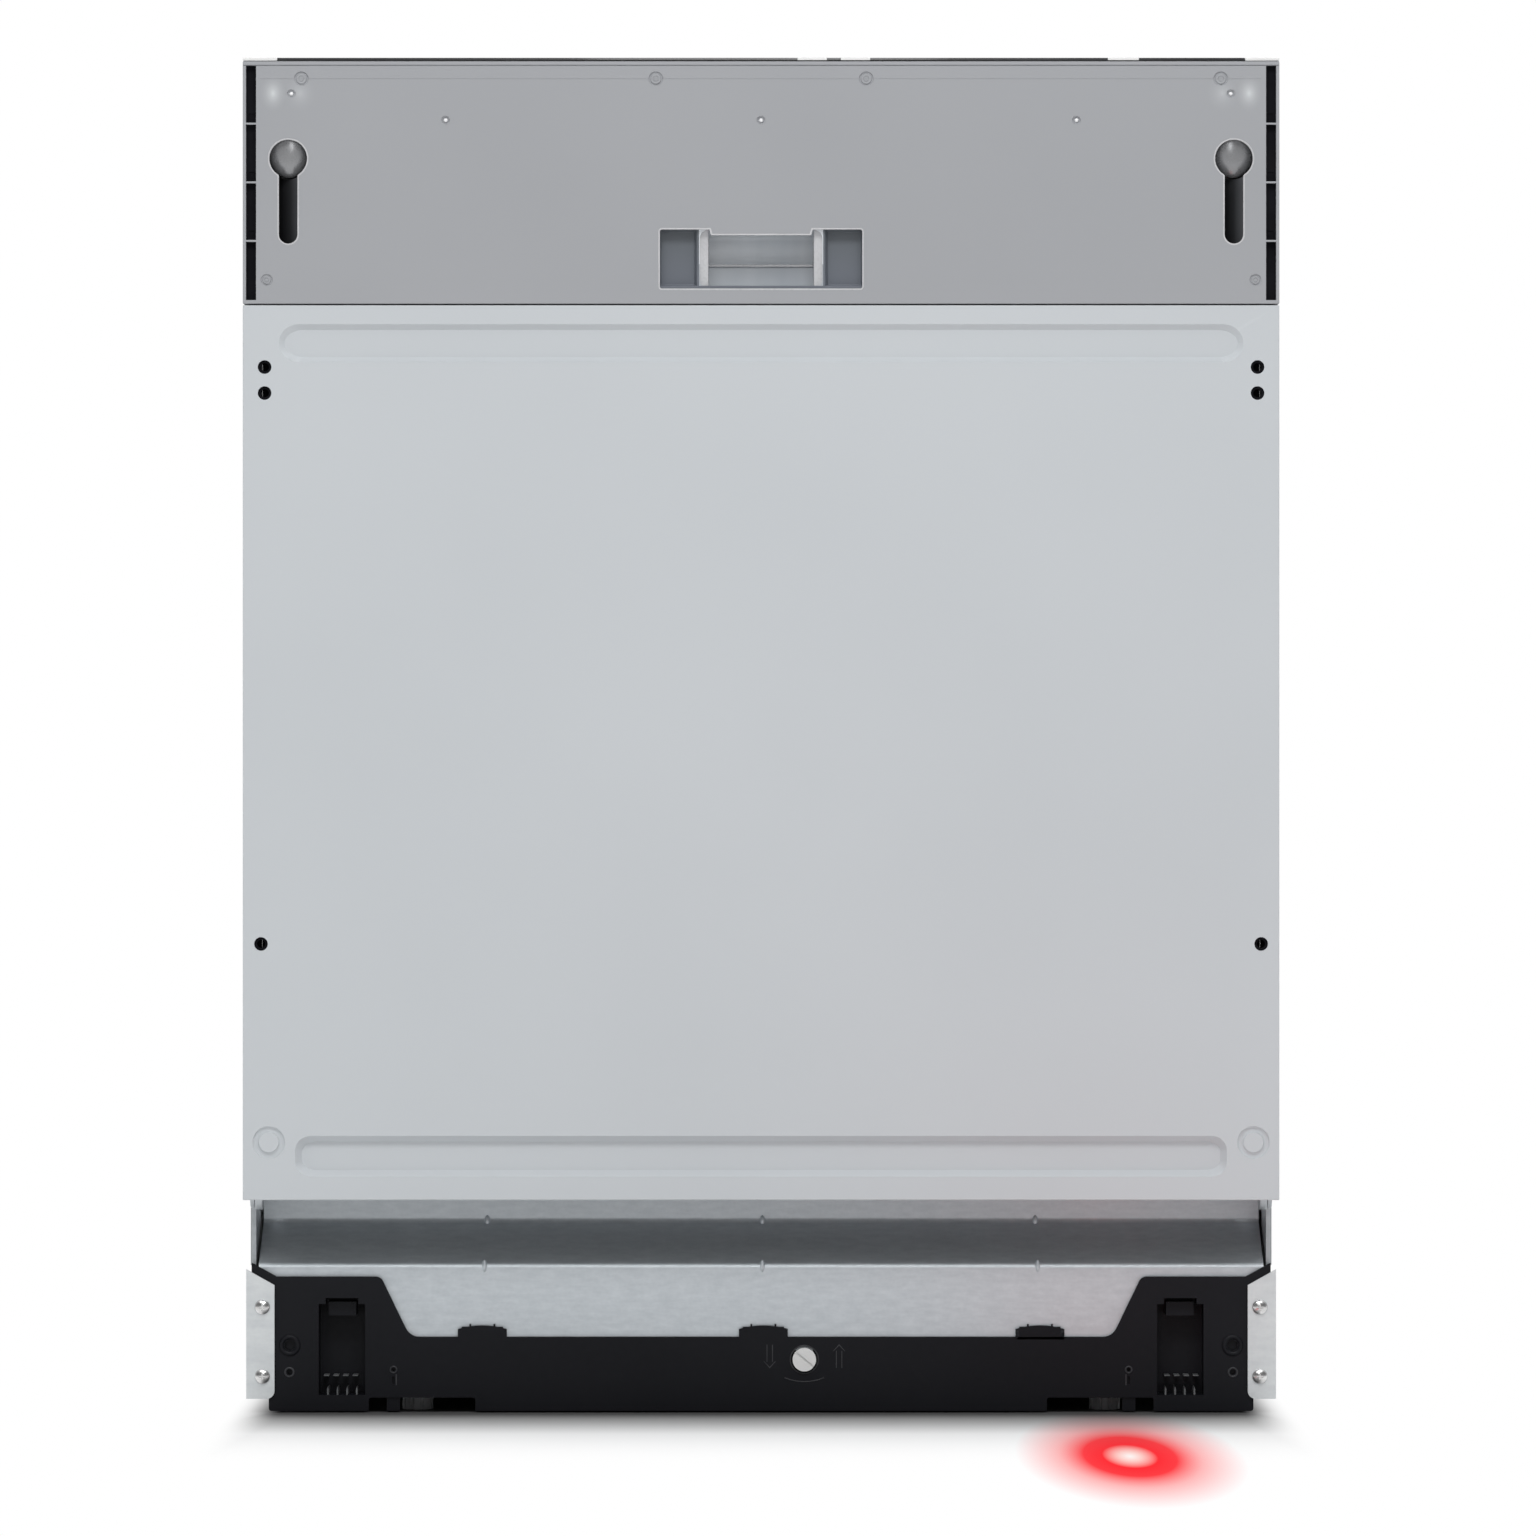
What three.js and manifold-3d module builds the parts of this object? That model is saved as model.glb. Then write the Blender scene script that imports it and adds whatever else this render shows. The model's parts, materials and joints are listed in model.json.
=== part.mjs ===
// A fully integrated built-in dishwasher, 60 cm class, door closed.
// Millimetres, +Z up, the door faces -Y, +X is to the right of someone who stands before it.
// The origin is at floor level, in the middle of the machine's outline.
import * as THREE from "three";
import { mergeVertices } from "three/addons/utils/BufferGeometryUtils.js";
import Module from "manifold-3d";

const wasm = await Module();
wasm.setup();

// ---------------------------------------------------------------- driving dimensions
const width = 598;
const height = 785;
const depth = 550;
const sheet = 1.2; // thickness of the steel sheets
const plastic = 2.5; // wall of the plastic mouldings
const touch = 0.3; // gap left between pieces that touch
const slack = 1; // gap round pieces that slide or drop into place
const running = 0.05; // radial clearance of a shaft in its hole

const side = width / 2;
const front = -depth / 2;
const back = depth / 2;

// Door
const doorBottom = 125.2;
const doorDepth = 55;
const consoleHeight = 142.7;
const seam = 0.8;
const returnDepth = 25;
const lowerReturnDepth = 17;
const upperReturnDepth = 5;
const stripThickness = 1.7;
const buttonProud = 0.8;
const embossDepth = 2.5;
const upperEmboss = { inset: 19.7, below: 9.9, height: 24.1 };
const lowerEmboss = { inset: 29.5, above: 12.9, height: 24.9 };
const panelHole = { r: 3.95, topInset: 12.6, topDrops: [35.7, 50.7], lowInset: 10.5, lowRise: 147.8 };
const ringEmboss = { r: 9.3, inset: 15, rise: 33.3 };
const keyhole = { inset: 26.2, r: 10.9, drop: 58.9, slotHalf: 5.4, slotDrop: 108 };
const grip = { half: 58.4, bottom: 8.8, top: 42.9, lipHalf: 31.5, lipDrop: 3.3, bayHalf: 35.4, depth: 31 };
const buttonSize = { x: 17, y: 9, thickness: 1.5 };
const buttonInset = 14; // from the door's front to the middle of a button
const powerInset = 35; // from the door's side to the middle of the power and start buttons
const pivotInset = 30; // from the door's front to the hinge axis
const pivotRise = 2.8; // from the door's lower edge to the hinge axis
const pinRadius = 4;
const pinLength = 7.2;
const armThickness = 4.4;
const armLength = 200;
const armHalfWidth = 13;
const spring = { r: 6, z: 60, length: 110 };
const linerRise = 10; // from the hinge axis to the lower edge of the inner liner
const linerInset = 10.3;

// Base
const baseSetBack = 35; // the cross-member's face behind the door's front
const recessDepth = 46;
const crossmemberEnd = 7; // from the machine's side
const faceBottom = 36;
const faceTop = 85.3;
const shelfTop = 107.5;
const shelfRim = 125.5;
const frontPlate = { thickness: 3, bottom: 1, archTop: 8.8, archIn: 166, archOut: 228, low: 44, high: 79 };
const plateShoulder = { top: 221, foot: 204, sideGap: 3 };
const pocket = { inner: 230, outer: 257, bottom: 13, top: 63.1, depth: 18 };
const socket = { x: 273.8, z: 39.1, r: 6.2 };
const bracket = { inner: 16.4, bottom: 8.2, innerTop: 74.2, outerTop: 83.4, thickness: 1.5 };
const screw = { inset: 9.4, low: 21.2, high: 61.4, headR: 4.5, headHeight: 2.2, shankR: 2, shankLength: 9 };
const trayInset = 11;
const trayBottom = 8.8;
const trayWall = 3;
const trayTop = 79;
const frontFoot = { x: 200.7, inset: 62, padR: 9, padHeight: 8, stemR: 5, stemTop: 68 };
const rearFoot = { inset: 40, padR: 20, padHeight: 8, stemR: 6, stemTop: 90 };
const adjuster = { x: 25.1, z: 30.9, headR: 6.8, shaftR: 3.5 };

// Wash space
const tubInset = 17;
const tubFloor = 150;
const tubTopInset = 17; // from the door's top edge to the tub's roof
const tubBackInset = 25;
const tubFrontGap = 8; // from the inner liner to the tub's front flange, filled by the gasket
const flangeInset = 2;
const flangeBottom = 140.3;
const casingTopInset = 8;
const gasketWidth = 6.8;
const sumpWell = { r: 50, depth: 62, front: -95, wall: 3 };
const armHub = { post: 9, bottom: 21, thickness: 14, hang: 9 };
const armRadius = 205;
const pumps = { circulationR: 36, behind: 115, drop: 72, drainR: 24, drainX: 105 };
const filterCup = { r: 32, height: 62 };
const saltCap = { r: 28, x: -165, front: -110, height: 9 };
const rackFrontGap = 17; // from the tub's flange to the racks' fronts
const rackBackGap = 27;
const rackWall = 2.5;
const lowerRack = { sideGap: 20, bottom: 196, height: 134 };
const upperRack = { sideGap: 27, bottom: 430, height: 115 };
const wheel = { r: 17.5, thickness: 10, inset: 2, frontY: 75, backY: 90, axleR: 3 };
const rail = { rise: 42, height: 20, depth: 14, groove: 7.5, grooveHeight: 11 };
const riser = { width: 26, depth: 12 };
const dispenser = { half: 78, drop: 92.3, height: 120, lidX: -34, lidHalf: 32, capX: 42, capR: 22, proud: 4 };
const lidTravel = 56; // the lid slides this far to the left

// ---------------------------------------------------------------- derived places
const pivotY = front + pivotInset;
const pivotZ = doorBottom + pivotRise;
const innerFace = front + doorDepth;
const panelTop = height - consoleHeight - seam;
const consoleBottom = height - consoleHeight;
const stripBottom = height - buttonProud - stripThickness;
const consoleTop = stripBottom - touch;
const linerSide = side - linerInset;
const linerBottom = pivotZ + linerRise;
const linerTop = consoleTop - plastic - touch;
const baseFace = front + baseSetBack;
const plateBack = baseFace - touch;
const plateFront = plateBack - frontPlate.thickness;
const bracketBack = plateFront - touch;
const bracketFront = bracketBack - bracket.thickness;
const traySide = side - trayInset;
const flangeFront = innerFace + tubFrontGap;
const tubSide = side - tubInset;
const tubBack = back - tubBackInset;
const tubTop = height - tubTopInset;
const casingTop = height - casingTopInset;
const tubMiddle = (flangeFront + tubBack) / 2;
const rackFront = flangeFront + rackFrontGap;
const rackBack = tubBack - rackBackGap;
const floorTop = tubFloor + sheet;
const filterY = tubMiddle + sumpWell.front;
const dispenserBottom = consoleBottom - dispenser.drop - dispenser.height;

// ---------------------------------------------------------------- shapes and solids
function outline(points) {
  return new THREE.Shape(points.map(([x, y]) => new THREE.Vector2(x, y)));
}

function disc(x, y, r, sides = 24) {
  const points = [];
  for (let i = 0; i < sides; i++) {
    const a = (2 * Math.PI * i) / sides;
    points.push([x + r * Math.cos(a), y + r * Math.sin(a)]);
  }
  return outline(points);
}

function rectangle(x0, x1, y0, y1) {
  return outline([[x0, y0], [x1, y0], [x1, y1], [x0, y1]]);
}

// A rectangle with round corners, which is a slot when the radius is half its height.
function roundedRectangle(x0, x1, y0, y1, r, steps = 6) {
  const corners = [[x1 - r, y0 + r, -90], [x1 - r, y1 - r, 0], [x0 + r, y1 - r, 90], [x0 + r, y0 + r, 180]];
  const points = [];
  for (const [x, y, start] of corners) {
    for (let i = 0; i <= steps; i++) {
      const a = THREE.MathUtils.degToRad(start + (90 * i) / steps);
      points.push([x + r * Math.cos(a), y + r * Math.sin(a)]);
    }
  }
  return outline(points);
}

function solid(geometry) {
  geometry.deleteAttribute("normal");
  geometry.deleteAttribute("uv");
  const merged = mergeVertices(geometry, 1e-4);
  return new wasm.Manifold(
    new wasm.Mesh({
      numProp: 3,
      vertProperties: merged.attributes.position.array,
      triVerts: new Uint32Array(merged.index.array),
    }),
  );
}

function extrude(shape, length) {
  return new THREE.ExtrudeGeometry(shape, { depth: length, bevelEnabled: false });
}

// A shape drawn as (x, z), as seen from the front, filled between two depths.
function facing(shape, y0, y1) {
  return solid(extrude(shape, y1 - y0).rotateX(Math.PI / 2).translate(0, y1, 0));
}

// A shape drawn as (x, y), as seen from above, filled between two heights.
function upright(shape, z0, z1) {
  return solid(extrude(shape, z1 - z0).translate(0, 0, z0));
}

// A shape drawn as (y, z), as seen from the side, filled between two widths.
function sideways(shape, x0, x1) {
  const turn = new THREE.Matrix4().makeBasis(
    new THREE.Vector3(0, 1, 0),
    new THREE.Vector3(0, 0, 1),
    new THREE.Vector3(1, 0, 0),
  );
  return solid(extrude(shape, x1 - x0).applyMatrix4(turn).translate(x0, 0, 0));
}

function block(x0, x1, y0, y1, z0, z1) {
  return solid(
    new THREE.BoxGeometry(x1 - x0, y1 - y0, z1 - z0).translate((x0 + x1) / 2, (y0 + y1) / 2, (z0 + z1) / 2),
  );
}

function join(...solids) {
  return solids.reduce((sum, next) => sum.add(next));
}

function cut(body, ...tools) {
  return tools.reduce((left, tool) => left.subtract(tool), body);
}

// The radius of a many-sided hole that clears a round shaft of radius r.
function boreRadius(r, sides = 24) {
  return (r + running) / Math.cos(Math.PI / sides);
}

// ---------------------------------------------------------------- finishes
function finish(color, roughness, metalness) {
  return new THREE.MeshStandardMaterial({ color, roughness, metalness });
}

const paintedSheet = finish(0xc4c9cd, 0.45, 0.3);
const greyPlastic = finish(0xa5a6aa, 0.5, 0);
const blackPlastic = finish(0x1c1d21, 0.5, 0);
const controlBlack = finish(0x17171a, 0.25, 0);
const whitePlastic = finish(0xe4e5e3, 0.4, 0);
const bluePlastic = finish(0x8d99a8, 0.45, 0);
const galvanised = finish(0xb6bbbf, 0.4, 0.8);
const stainless = finish(0xc9cbcc, 0.28, 0.95);
const steel = finish(0x9b9ea2, 0.35, 0.9);
const blackRubber = finish(0x202022, 0.8, 0);
const redLens = finish(0xc01818, 0.2, 0);
const wire = finish(0x9aa4b0, 0.4, 0.1);

const dishwasher = new THREE.Group();
const door = new THREE.Group();
const upper = new THREE.Group();
const lower = new THREE.Group();
dishwasher.add(door, upper, lower);

function piece(name, body, material, parent = dishwasher) {
  const { numProp, vertProperties, triVerts } = body.getMesh();
  const geometry = new THREE.BufferGeometry();
  geometry.setAttribute("position", new THREE.BufferAttribute(vertProperties, numProp));
  geometry.setIndex(new THREE.BufferAttribute(triVerts, 1));
  geometry.computeVertexNormals();
  const mesh = new THREE.Mesh(geometry, material);
  mesh.name = name;
  parent.add(mesh);
  return mesh;
}

function bothSides(make) {
  make("left", -1);
  make("right", 1);
}

// A block given by its distance from the middle, on one side of the machine.
function sideBlock(s, a, b, y0, y1, z0, z1) {
  return s > 0 ? block(a, b, y0, y1, z0, z1) : block(-b, -a, y0, y1, z0, z1);
}

function sideProfile(s, shape, a, b) {
  return s > 0 ? sideways(shape, a, b) : sideways(shape, -b, -a);
}

// ---------------------------------------------------------------- base
// The space taken by a pocket of the base front, which the cross-member and the tray leave free.
function pocketRoom(s) {
  const wall = plastic + slack;
  const y0 = plateBack - slack;
  const y1 = baseFace + pocket.depth + slack;
  return sideBlock(s, pocket.inner - wall, pocket.outer + wall, y0, y1, pocket.bottom - wall, pocket.top + wall);
}

function shaftHole(y0, y1) {
  return facing(disc(adjuster.x, adjuster.z, boreRadius(adjuster.shaftR)), y0, y1);
}

// The two clearance holes for the bracket's screws on one side.
function screwHoles(s, y0, y1) {
  const x = s * (side - screw.inset);
  return [screw.low, screw.high].map((z) => facing(disc(x, z, screw.shankR + touch, 12), y0, y1));
}

// Bent galvanised cross-member: an upright face, a shelf that slopes back, and an upright rim.
function makeCrossmember() {
  const rimY = baseFace + recessDepth;
  const profile = outline([
    [baseFace, faceBottom],
    [baseFace + sheet, faceBottom],
    [baseFace + sheet, faceTop - sheet / 2],
    [rimY + sheet, shelfTop - sheet / 2],
    [rimY + sheet, shelfRim],
    [rimY, shelfRim],
    [rimY, shelfTop + sheet / 2],
    [baseFace, faceTop + sheet / 2],
  ]);
  const end = side - crossmemberEnd;
  const holes = [-1, 1].flatMap((s) => [pocketRoom(s), ...screwHoles(s, baseFace - 1, baseFace + sheet + 1)]);
  piece("base_crossmember", cut(sideways(profile, -end, end), ...holes), galvanised);
}

// Black moulding at the foot of the machine, with its pockets, sockets and the arches for the feet.
function makeBaseFront() {
  const p = frontPlate;
  const end = side - plateShoulder.sideGap;
  const half = [
    [p.archIn, p.bottom], [p.archIn, p.archTop], [p.archOut, p.archTop], [p.archOut, p.bottom], [end, p.bottom],
    [end, p.high], [plateShoulder.top, p.high], [plateShoulder.foot, p.low],
  ];
  const mirrored = half.map(([x, z]) => [-x, z]).reverse();
  let body = facing(outline([...half, ...mirrored]), plateFront, plateBack);
  const through = [plateFront - 1, plateBack + 1];
  const room = baseFace + pocket.depth;
  for (const s of [-1, 1]) {
    const { inner, outer, bottom, top } = pocket;
    body = body.add(sideBlock(s, inner - plastic, outer + plastic, plateBack, room, bottom - plastic, top + plastic));
    body = cut(
      body,
      sideBlock(s, inner, outer, plateFront - 1, room - plastic, bottom, top),
      facing(disc(s * socket.x, socket.z, socket.r / 2, 6), ...through),
      ...screwHoles(s, ...through),
    );
  }
  piece("base_front", cut(body, shaftHole(...through)), blackPlastic);
}

function makeSideBracket(name, s) {
  const inner = side - bracket.inner;
  const { bottom, innerTop, outerTop } = bracket;
  const flange = outline([[s * inner, bottom], [s * side, bottom], [s * side, outerTop], [s * inner, innerTop]]);
  const runner = sideBlock(
    s, side - bracket.thickness, side, bracketFront, back - slack, bracket.bottom, bracket.innerTop,
  );
  const plate = cut(facing(flange, bracketFront, bracketBack), ...screwHoles(s, bracketFront - 1, bracketBack + 1));
  const body = join(plate, runner);
  piece(`side_bracket_${name}`, body, galvanised);
}

// Cross-head screw, drawn lying along Y with the underside of its head at the origin.
function makeBracketScrew(name, x, z) {
  const head = facing(disc(0, 0, screw.headR, 20), -screw.headHeight, 0);
  const shank = facing(disc(0, 0, screw.shankR, 12), -0.1, screw.shankLength);
  const arm = screw.headR * 0.62;
  const slotHalf = 0.55;
  const cross = join(
    block(-arm, arm, -screw.headHeight - 1, -screw.headHeight / 2, -slotHalf, slotHalf),
    block(-slotHalf, slotHalf, -screw.headHeight - 1, -screw.headHeight / 2, -arm, arm),
  );
  piece(name, cut(join(head, shank), cross), steel).position.set(x, bracketFront - touch, z);
}

// Open black tray that carries the pumps, with sockets for the three feet.
function makeBaseTray() {
  const inside = traySide - trayWall;
  const y0 = baseFace;
  const floor = trayBottom + trayWall;
  const wellClear = sumpWell.r + sumpWell.wall + slack;
  let body = cut(
    block(-traySide, traySide, y0, back, trayBottom, trayTop),
    block(-inside, inside, y0 + trayWall, back - trayWall, floor, trayTop + 1),
    block(-traySide - 1, traySide + 1, y0 - 1, y0 + trayWall + 1, faceBottom - touch, trayTop + 1),
    ...[-1, 1].flatMap((s) => [pocketRoom(s), ...screwHoles(s, y0 - 1, y0 + screw.shankLength)]),
  );
  body = body.add(block(-inside - 1, inside + 1, back - trayWall, back, floor, flangeBottom - touch));
  const rearY = back - rearFoot.inset;
  const feet = [
    [-frontFoot.x, front + frontFoot.inset, frontFoot],
    [frontFoot.x, front + frontFoot.inset, frontFoot],
    [0, rearY, rearFoot],
  ];
  for (const [x, y, foot] of feet) {
    const bore = boreRadius(foot.stemR + touch);
    body = body.add(upright(disc(x, y, bore + trayWall), floor - 1, foot.stemTop - 8));
    body = cut(body, upright(disc(x, y, bore), trayBottom - 1, foot.stemTop));
  }
  const inlet = facing(disc(inletValve.x, inletValve.z, inletValve.r + slack), back - trayWall - 1, back + 1);
  const gland = facing(disc(cableGland.x, cableGland.z, cableGland.r + touch), back - trayWall - 1, back + 1);
  const shaft = shaftHole(y0 - 1, y0 + trayWall + 1);
  const well = upright(disc(0, tubMiddle, wellClear), trayBottom, trayBottom + 0.5);
  piece("base_tray", cut(body, inlet, gland, shaft, well), blackPlastic);
}

// ---------------------------------------------------------------- feet
// A threaded foot, drawn standing with its sole at the origin.
function makeFoot(name, x, y, foot, stemTop) {
  const body = join(
    upright(disc(0, 0, foot.padR), 0, foot.padHeight),
    upright(disc(0, 0, foot.stemR), foot.padHeight - 0.5, stemTop),
  );
  piece(name, body, greyPlastic).position.set(x, y, 0);
}

// The rod that winds the rear foot from the front: a slotted head, and a shaft along Y.
function makeAdjuster() {
  const headFront = plateFront - 2;
  const end = back - rearFoot.inset;
  const head = facing(disc(0, 0, adjuster.headR), headFront, plateFront - touch);
  const shaft = facing(disc(0, 0, adjuster.shaftR), plateFront - touch - 0.1, end);
  const driver = block(-adjuster.headR * 0.7, adjuster.headR * 0.7, headFront - 1, headFront + 1, -0.8, 0.8);
  const body = cut(join(head, shaft), driver.rotate([0, 40, 0]));
  piece("rear_foot_adjuster", body, whitePlastic).position.set(adjuster.x, 0, adjuster.z);
}

// ---------------------------------------------------------------- casing and tub
function makeCasing() {
  bothSides((name, s) => {
    const inner = side - flangeInset + touch;
    const y1 = back - sheet - 2 * touch;
    const z0 = bracket.outerTop + touch;
    piece(`side_panel_${name}`, sideBlock(s, inner, inner + sheet, flangeFront, y1, z0, casingTop), galvanised);
  });
  const panelHalf = side - flangeInset;
  piece("rear_panel", block(-panelHalf, panelHalf, back - sheet, back, flangeBottom, casingTop), galvanised);
  const lid = block(-side + touch, side - touch, flangeFront, back, casingTop + touch, casingTop + touch + sheet);
  piece("top_panel", lid, galvanised);
}

// A slot-shaped outline round the sump, from the filter to the spray arm's post.
function wellOutline(r, x = 0) {
  const points = [];
  for (let i = 0; i <= 12; i++) {
    const a = Math.PI + (Math.PI * i) / 12;
    points.push([x + r * Math.cos(a), filterY + r * Math.sin(a)]);
  }
  for (let i = 0; i <= 12; i++) {
    const a = (Math.PI * i) / 12;
    points.push([x + r * Math.cos(a), tubMiddle + r * Math.sin(a)]);
  }
  return outline(points);
}

function makeTub() {
  const inside = tubSide - sheet;
  const flange = flangeFront + sheet;
  let body = join(
    block(-tubSide, tubSide, flangeFront, tubBack, tubFloor, tubTop),
    block(-side + flangeInset, side - flangeInset, flangeFront, flange, flangeBottom, casingTop - touch),
  );
  body = cut(
    body,
    block(-inside, inside, flangeFront - 1, tubBack - sheet, floorTop, tubTop - sheet),
    upright(wellOutline(sumpWell.r - 4), tubFloor - 1, floorTop + 1),
    upright(disc(saltCap.x, tubMiddle + saltCap.front, saltCap.r - 4), tubFloor - 1, floorTop + 1),
  );
  piece("tub", body, stainless);
}

function makeGasket() {
  const inner = tubSide + slack;
  const outer = inner + gasketWidth;
  const z1 = tubTop + slack;
  const z0 = tubFloor - slack;
  const ring = cut(
    block(-outer, outer, innerFace + touch, flangeFront - touch, z0 - gasketWidth, z1 + gasketWidth),
    block(-inner, inner, innerFace - 1, flangeFront + 1, z0, z1),
  );
  piece("tub_gasket", ring, blackRubber);
}

// ---------------------------------------------------------------- water system
function makeSump() {
  const top = tubFloor - touch;
  const low = top - sumpWell.depth;
  const postTop = floorTop + armHub.bottom - touch;
  let body = join(
    upright(wellOutline(sumpWell.r + 8), top - sumpWell.wall, top),
    upright(wellOutline(sumpWell.r), low, top),
  );
  body = cut(body, upright(wellOutline(sumpWell.r - sumpWell.wall), low + sumpWell.wall, top + 1));
  body = body.add(upright(disc(0, tubMiddle, armHub.post), low + 1, postTop));
  piece("sump", body, blackPlastic);
}

function makeFilters() {
  const z0 = floorTop + touch;
  const plate = cut(
    upright(wellOutline(sumpWell.r + 4), z0, z0 + sheet),
    upright(disc(0, filterY, filterCup.r + slack), z0 - 1, z0 + 3),
    upright(disc(0, tubMiddle, armHub.post + slack), z0 - 1, z0 + 3),
  );
  piece("flat_filter", plate, stainless);
  const wall = plastic;
  const cup = cut(
    join(
      upright(disc(0, 0, filterCup.r), -filterCup.height / 2, 6),
      upright(disc(0, 0, filterCup.r + 3), sheet + touch, 4),
    ),
    upright(disc(0, 0, filterCup.r - wall), -filterCup.height / 2 + wall, 7),
  );
  const handle = block(-filterCup.r + 1, filterCup.r - 1, -3, 3, 2, 6);
  piece("filter_cup", join(cup, handle), greyPlastic).position.set(0, filterY, z0);
}

function makeSoftener() {
  const y = tubMiddle + saltCap.front;
  const top = tubFloor - touch;
  const neck = saltCap.r - 5;
  const low = top - sumpWell.depth;
  const body = cut(
    join(
      block(saltCap.x - 75, saltCap.x + 45, y - 60, y + 80, low, top - 8),
      upright(disc(saltCap.x, y, neck), top - 9, floorTop),
    ),
    upright(disc(saltCap.x, y, neck - 4), low + 4, floorTop + 1),
  );
  piece("water_softener", body, whitePlastic);
  const grip = block(-saltCap.r + 6, saltCap.r - 6, -3, 3, saltCap.height - 1, saltCap.height + 5);
  const cap = join(upright(disc(0, 0, saltCap.r), 0, saltCap.height), grip);
  piece("salt_cap", cap, whitePlastic).position.set(saltCap.x, y, floorTop + touch);
}

function makePumps() {
  const floor = trayBottom + trayWall + touch;
  const flangeEnd = sumpWell.r + touch - pumps.behind;
  const motor = join(
    facing(disc(0, 0, pumps.circulationR), -40, 45),
    facing(disc(0, 0, pumps.circulationR + 5), -12, 0),
    facing(disc(0, pumps.circulationR + 2, 18), flangeEnd, -6),
  );
  piece("circulation_pump", motor, blackPlastic).position.set(0, tubMiddle + pumps.behind, tubFloor - pumps.drop);
  const drainLift = pumps.drainR + 6;
  const drain = join(
    facing(disc(0, 0, pumps.drainR, 20), -40, 30),
    block(-8, 8, -52, -38, -8, 8),
    block(-16, 16, -30, 20, -drainLift, 0),
  );
  piece("drain_pump", drain, greyPlastic).position.set(pumps.drainX, tubMiddle + 30, floor + drainLift);
}

// Flat duct up the back of the tub, along its roof, ending in a small shower head over the racks.
function makeRiser() {
  const half = riser.width / 2;
  const y1 = tubBack - sheet - touch;
  const roof = tubTop - sheet - touch;
  const body = join(
    block(-half, half, y1 - riser.depth, y1, floorTop + touch, roof),
    block(-half, half, tubMiddle, y1, roof - riser.depth, roof),
    upright(disc(0, tubMiddle, 24), roof - riser.depth - 14, roof),
  );
  piece("riser_pipe", body, greyPlastic);
}

const inletValve = { x: -200, z: 60, r: 12 };
const cableGland = { x: 215, z: 55, r: 8 };

function makeRearFittings() {
  const { x, z, r } = inletValve;
  const inside = back - trayWall - touch;
  const valve = join(
    facing(disc(x, z, r), inside - 1, back),
    block(x - 24, x + 24, inside - 40, inside, z - 22, z + 30),
  );
  piece("water_inlet_valve", cut(valve, facing(disc(x, z, r - 4), back - 10, back + 1)), whitePlastic);
  const gland = join(
    facing(disc(cableGland.x, cableGland.z, cableGland.r), inside - 2, back),
    facing(disc(cableGland.x, cableGland.z, cableGland.r + 5), inside - 6, inside),
  );
  const cable = facing(disc(cableGland.x, cableGland.z, 4), inside - 7, back + 1);
  piece("cable_gland", cut(gland, cable), blackPlastic);
}

// ---------------------------------------------------------------- door
// Steel sheet, folded back round its edges, with two long embosses pressed into its face.
function makeOuterPanel() {
  const y0 = front;
  const inside = side - sheet;
  const backing = sheet + embossDepth;
  let body = cut(
    block(-side, side, y0, y0 + returnDepth, doorBottom, panelTop),
    block(-inside, inside, y0 + sheet, y0 + returnDepth + 1, doorBottom + sheet, panelTop - sheet),
    block(-inside, inside, y0 + lowerReturnDepth, y0 + returnDepth + 1, doorBottom - 1, doorBottom + 2 * sheet),
    block(-inside, inside, y0 + upperReturnDepth, y0 + returnDepth + 1, panelTop - 2 * sheet, panelTop + 1),
  );
  const upperHalf = side - upperEmboss.inset;
  const lowerHalf = side - lowerEmboss.inset;
  const upperTop = panelTop - upperEmboss.below;
  const lowerFoot = doorBottom + lowerEmboss.above;
  const presses = [
    [upperHalf, upperTop - upperEmboss.height, upperTop, upperEmboss.height / 2],
    [lowerHalf, lowerFoot, lowerFoot + lowerEmboss.height, 9],
  ];
  for (const [half, z0, z1, r] of presses) {
    body = body.add(block(-half - 3, half + 3, y0 + sheet / 2, y0 + backing, z0 - 3, z1 + 3));
    body = cut(body, facing(roundedRectangle(-half, half, z0, z1, r), y0 - 1, y0 + embossDepth));
  }
  for (const s of [-1, 1]) {
    const x = s * (side - panelHole.topInset);
    const holes = panelHole.topDrops.map((drop) => disc(x, panelTop - drop, panelHole.r, 20));
    holes.push(disc(s * (side - panelHole.lowInset), doorBottom + panelHole.lowRise, panelHole.r, 20));
    body = cut(body, ...holes.map((hole) => facing(hole, y0 - 1, y0 + sheet + 1)));
    const ring = disc(s * (side - ringEmboss.inset), doorBottom + ringEmboss.rise, ringEmboss.r);
    body = cut(body, facing(ring, y0 - 1, y0 + sheet / 2));
  }
  const lampY = front + lamp.inset;
  body = cut(body, upright(disc(lamp.x, lampY, lamp.r + touch), doorBottom - 1, doorBottom + sheet + 1));
  piece("door_outer_panel", body, paintedSheet, door);
}

// Keyhole opening that takes a headed peg of the furniture door.
function keyholeCut(s) {
  const x = s * (side - keyhole.inset);
  const z = height - keyhole.drop;
  const foot = height - keyhole.slotDrop;
  return join(
    facing(disc(x, z, keyhole.r), front - 1, front + plastic + 1),
    facing(rectangle(x - keyhole.slotHalf, x + keyhole.slotHalf, foot, z), front - 1, front + plastic + 1),
  );
}

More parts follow.
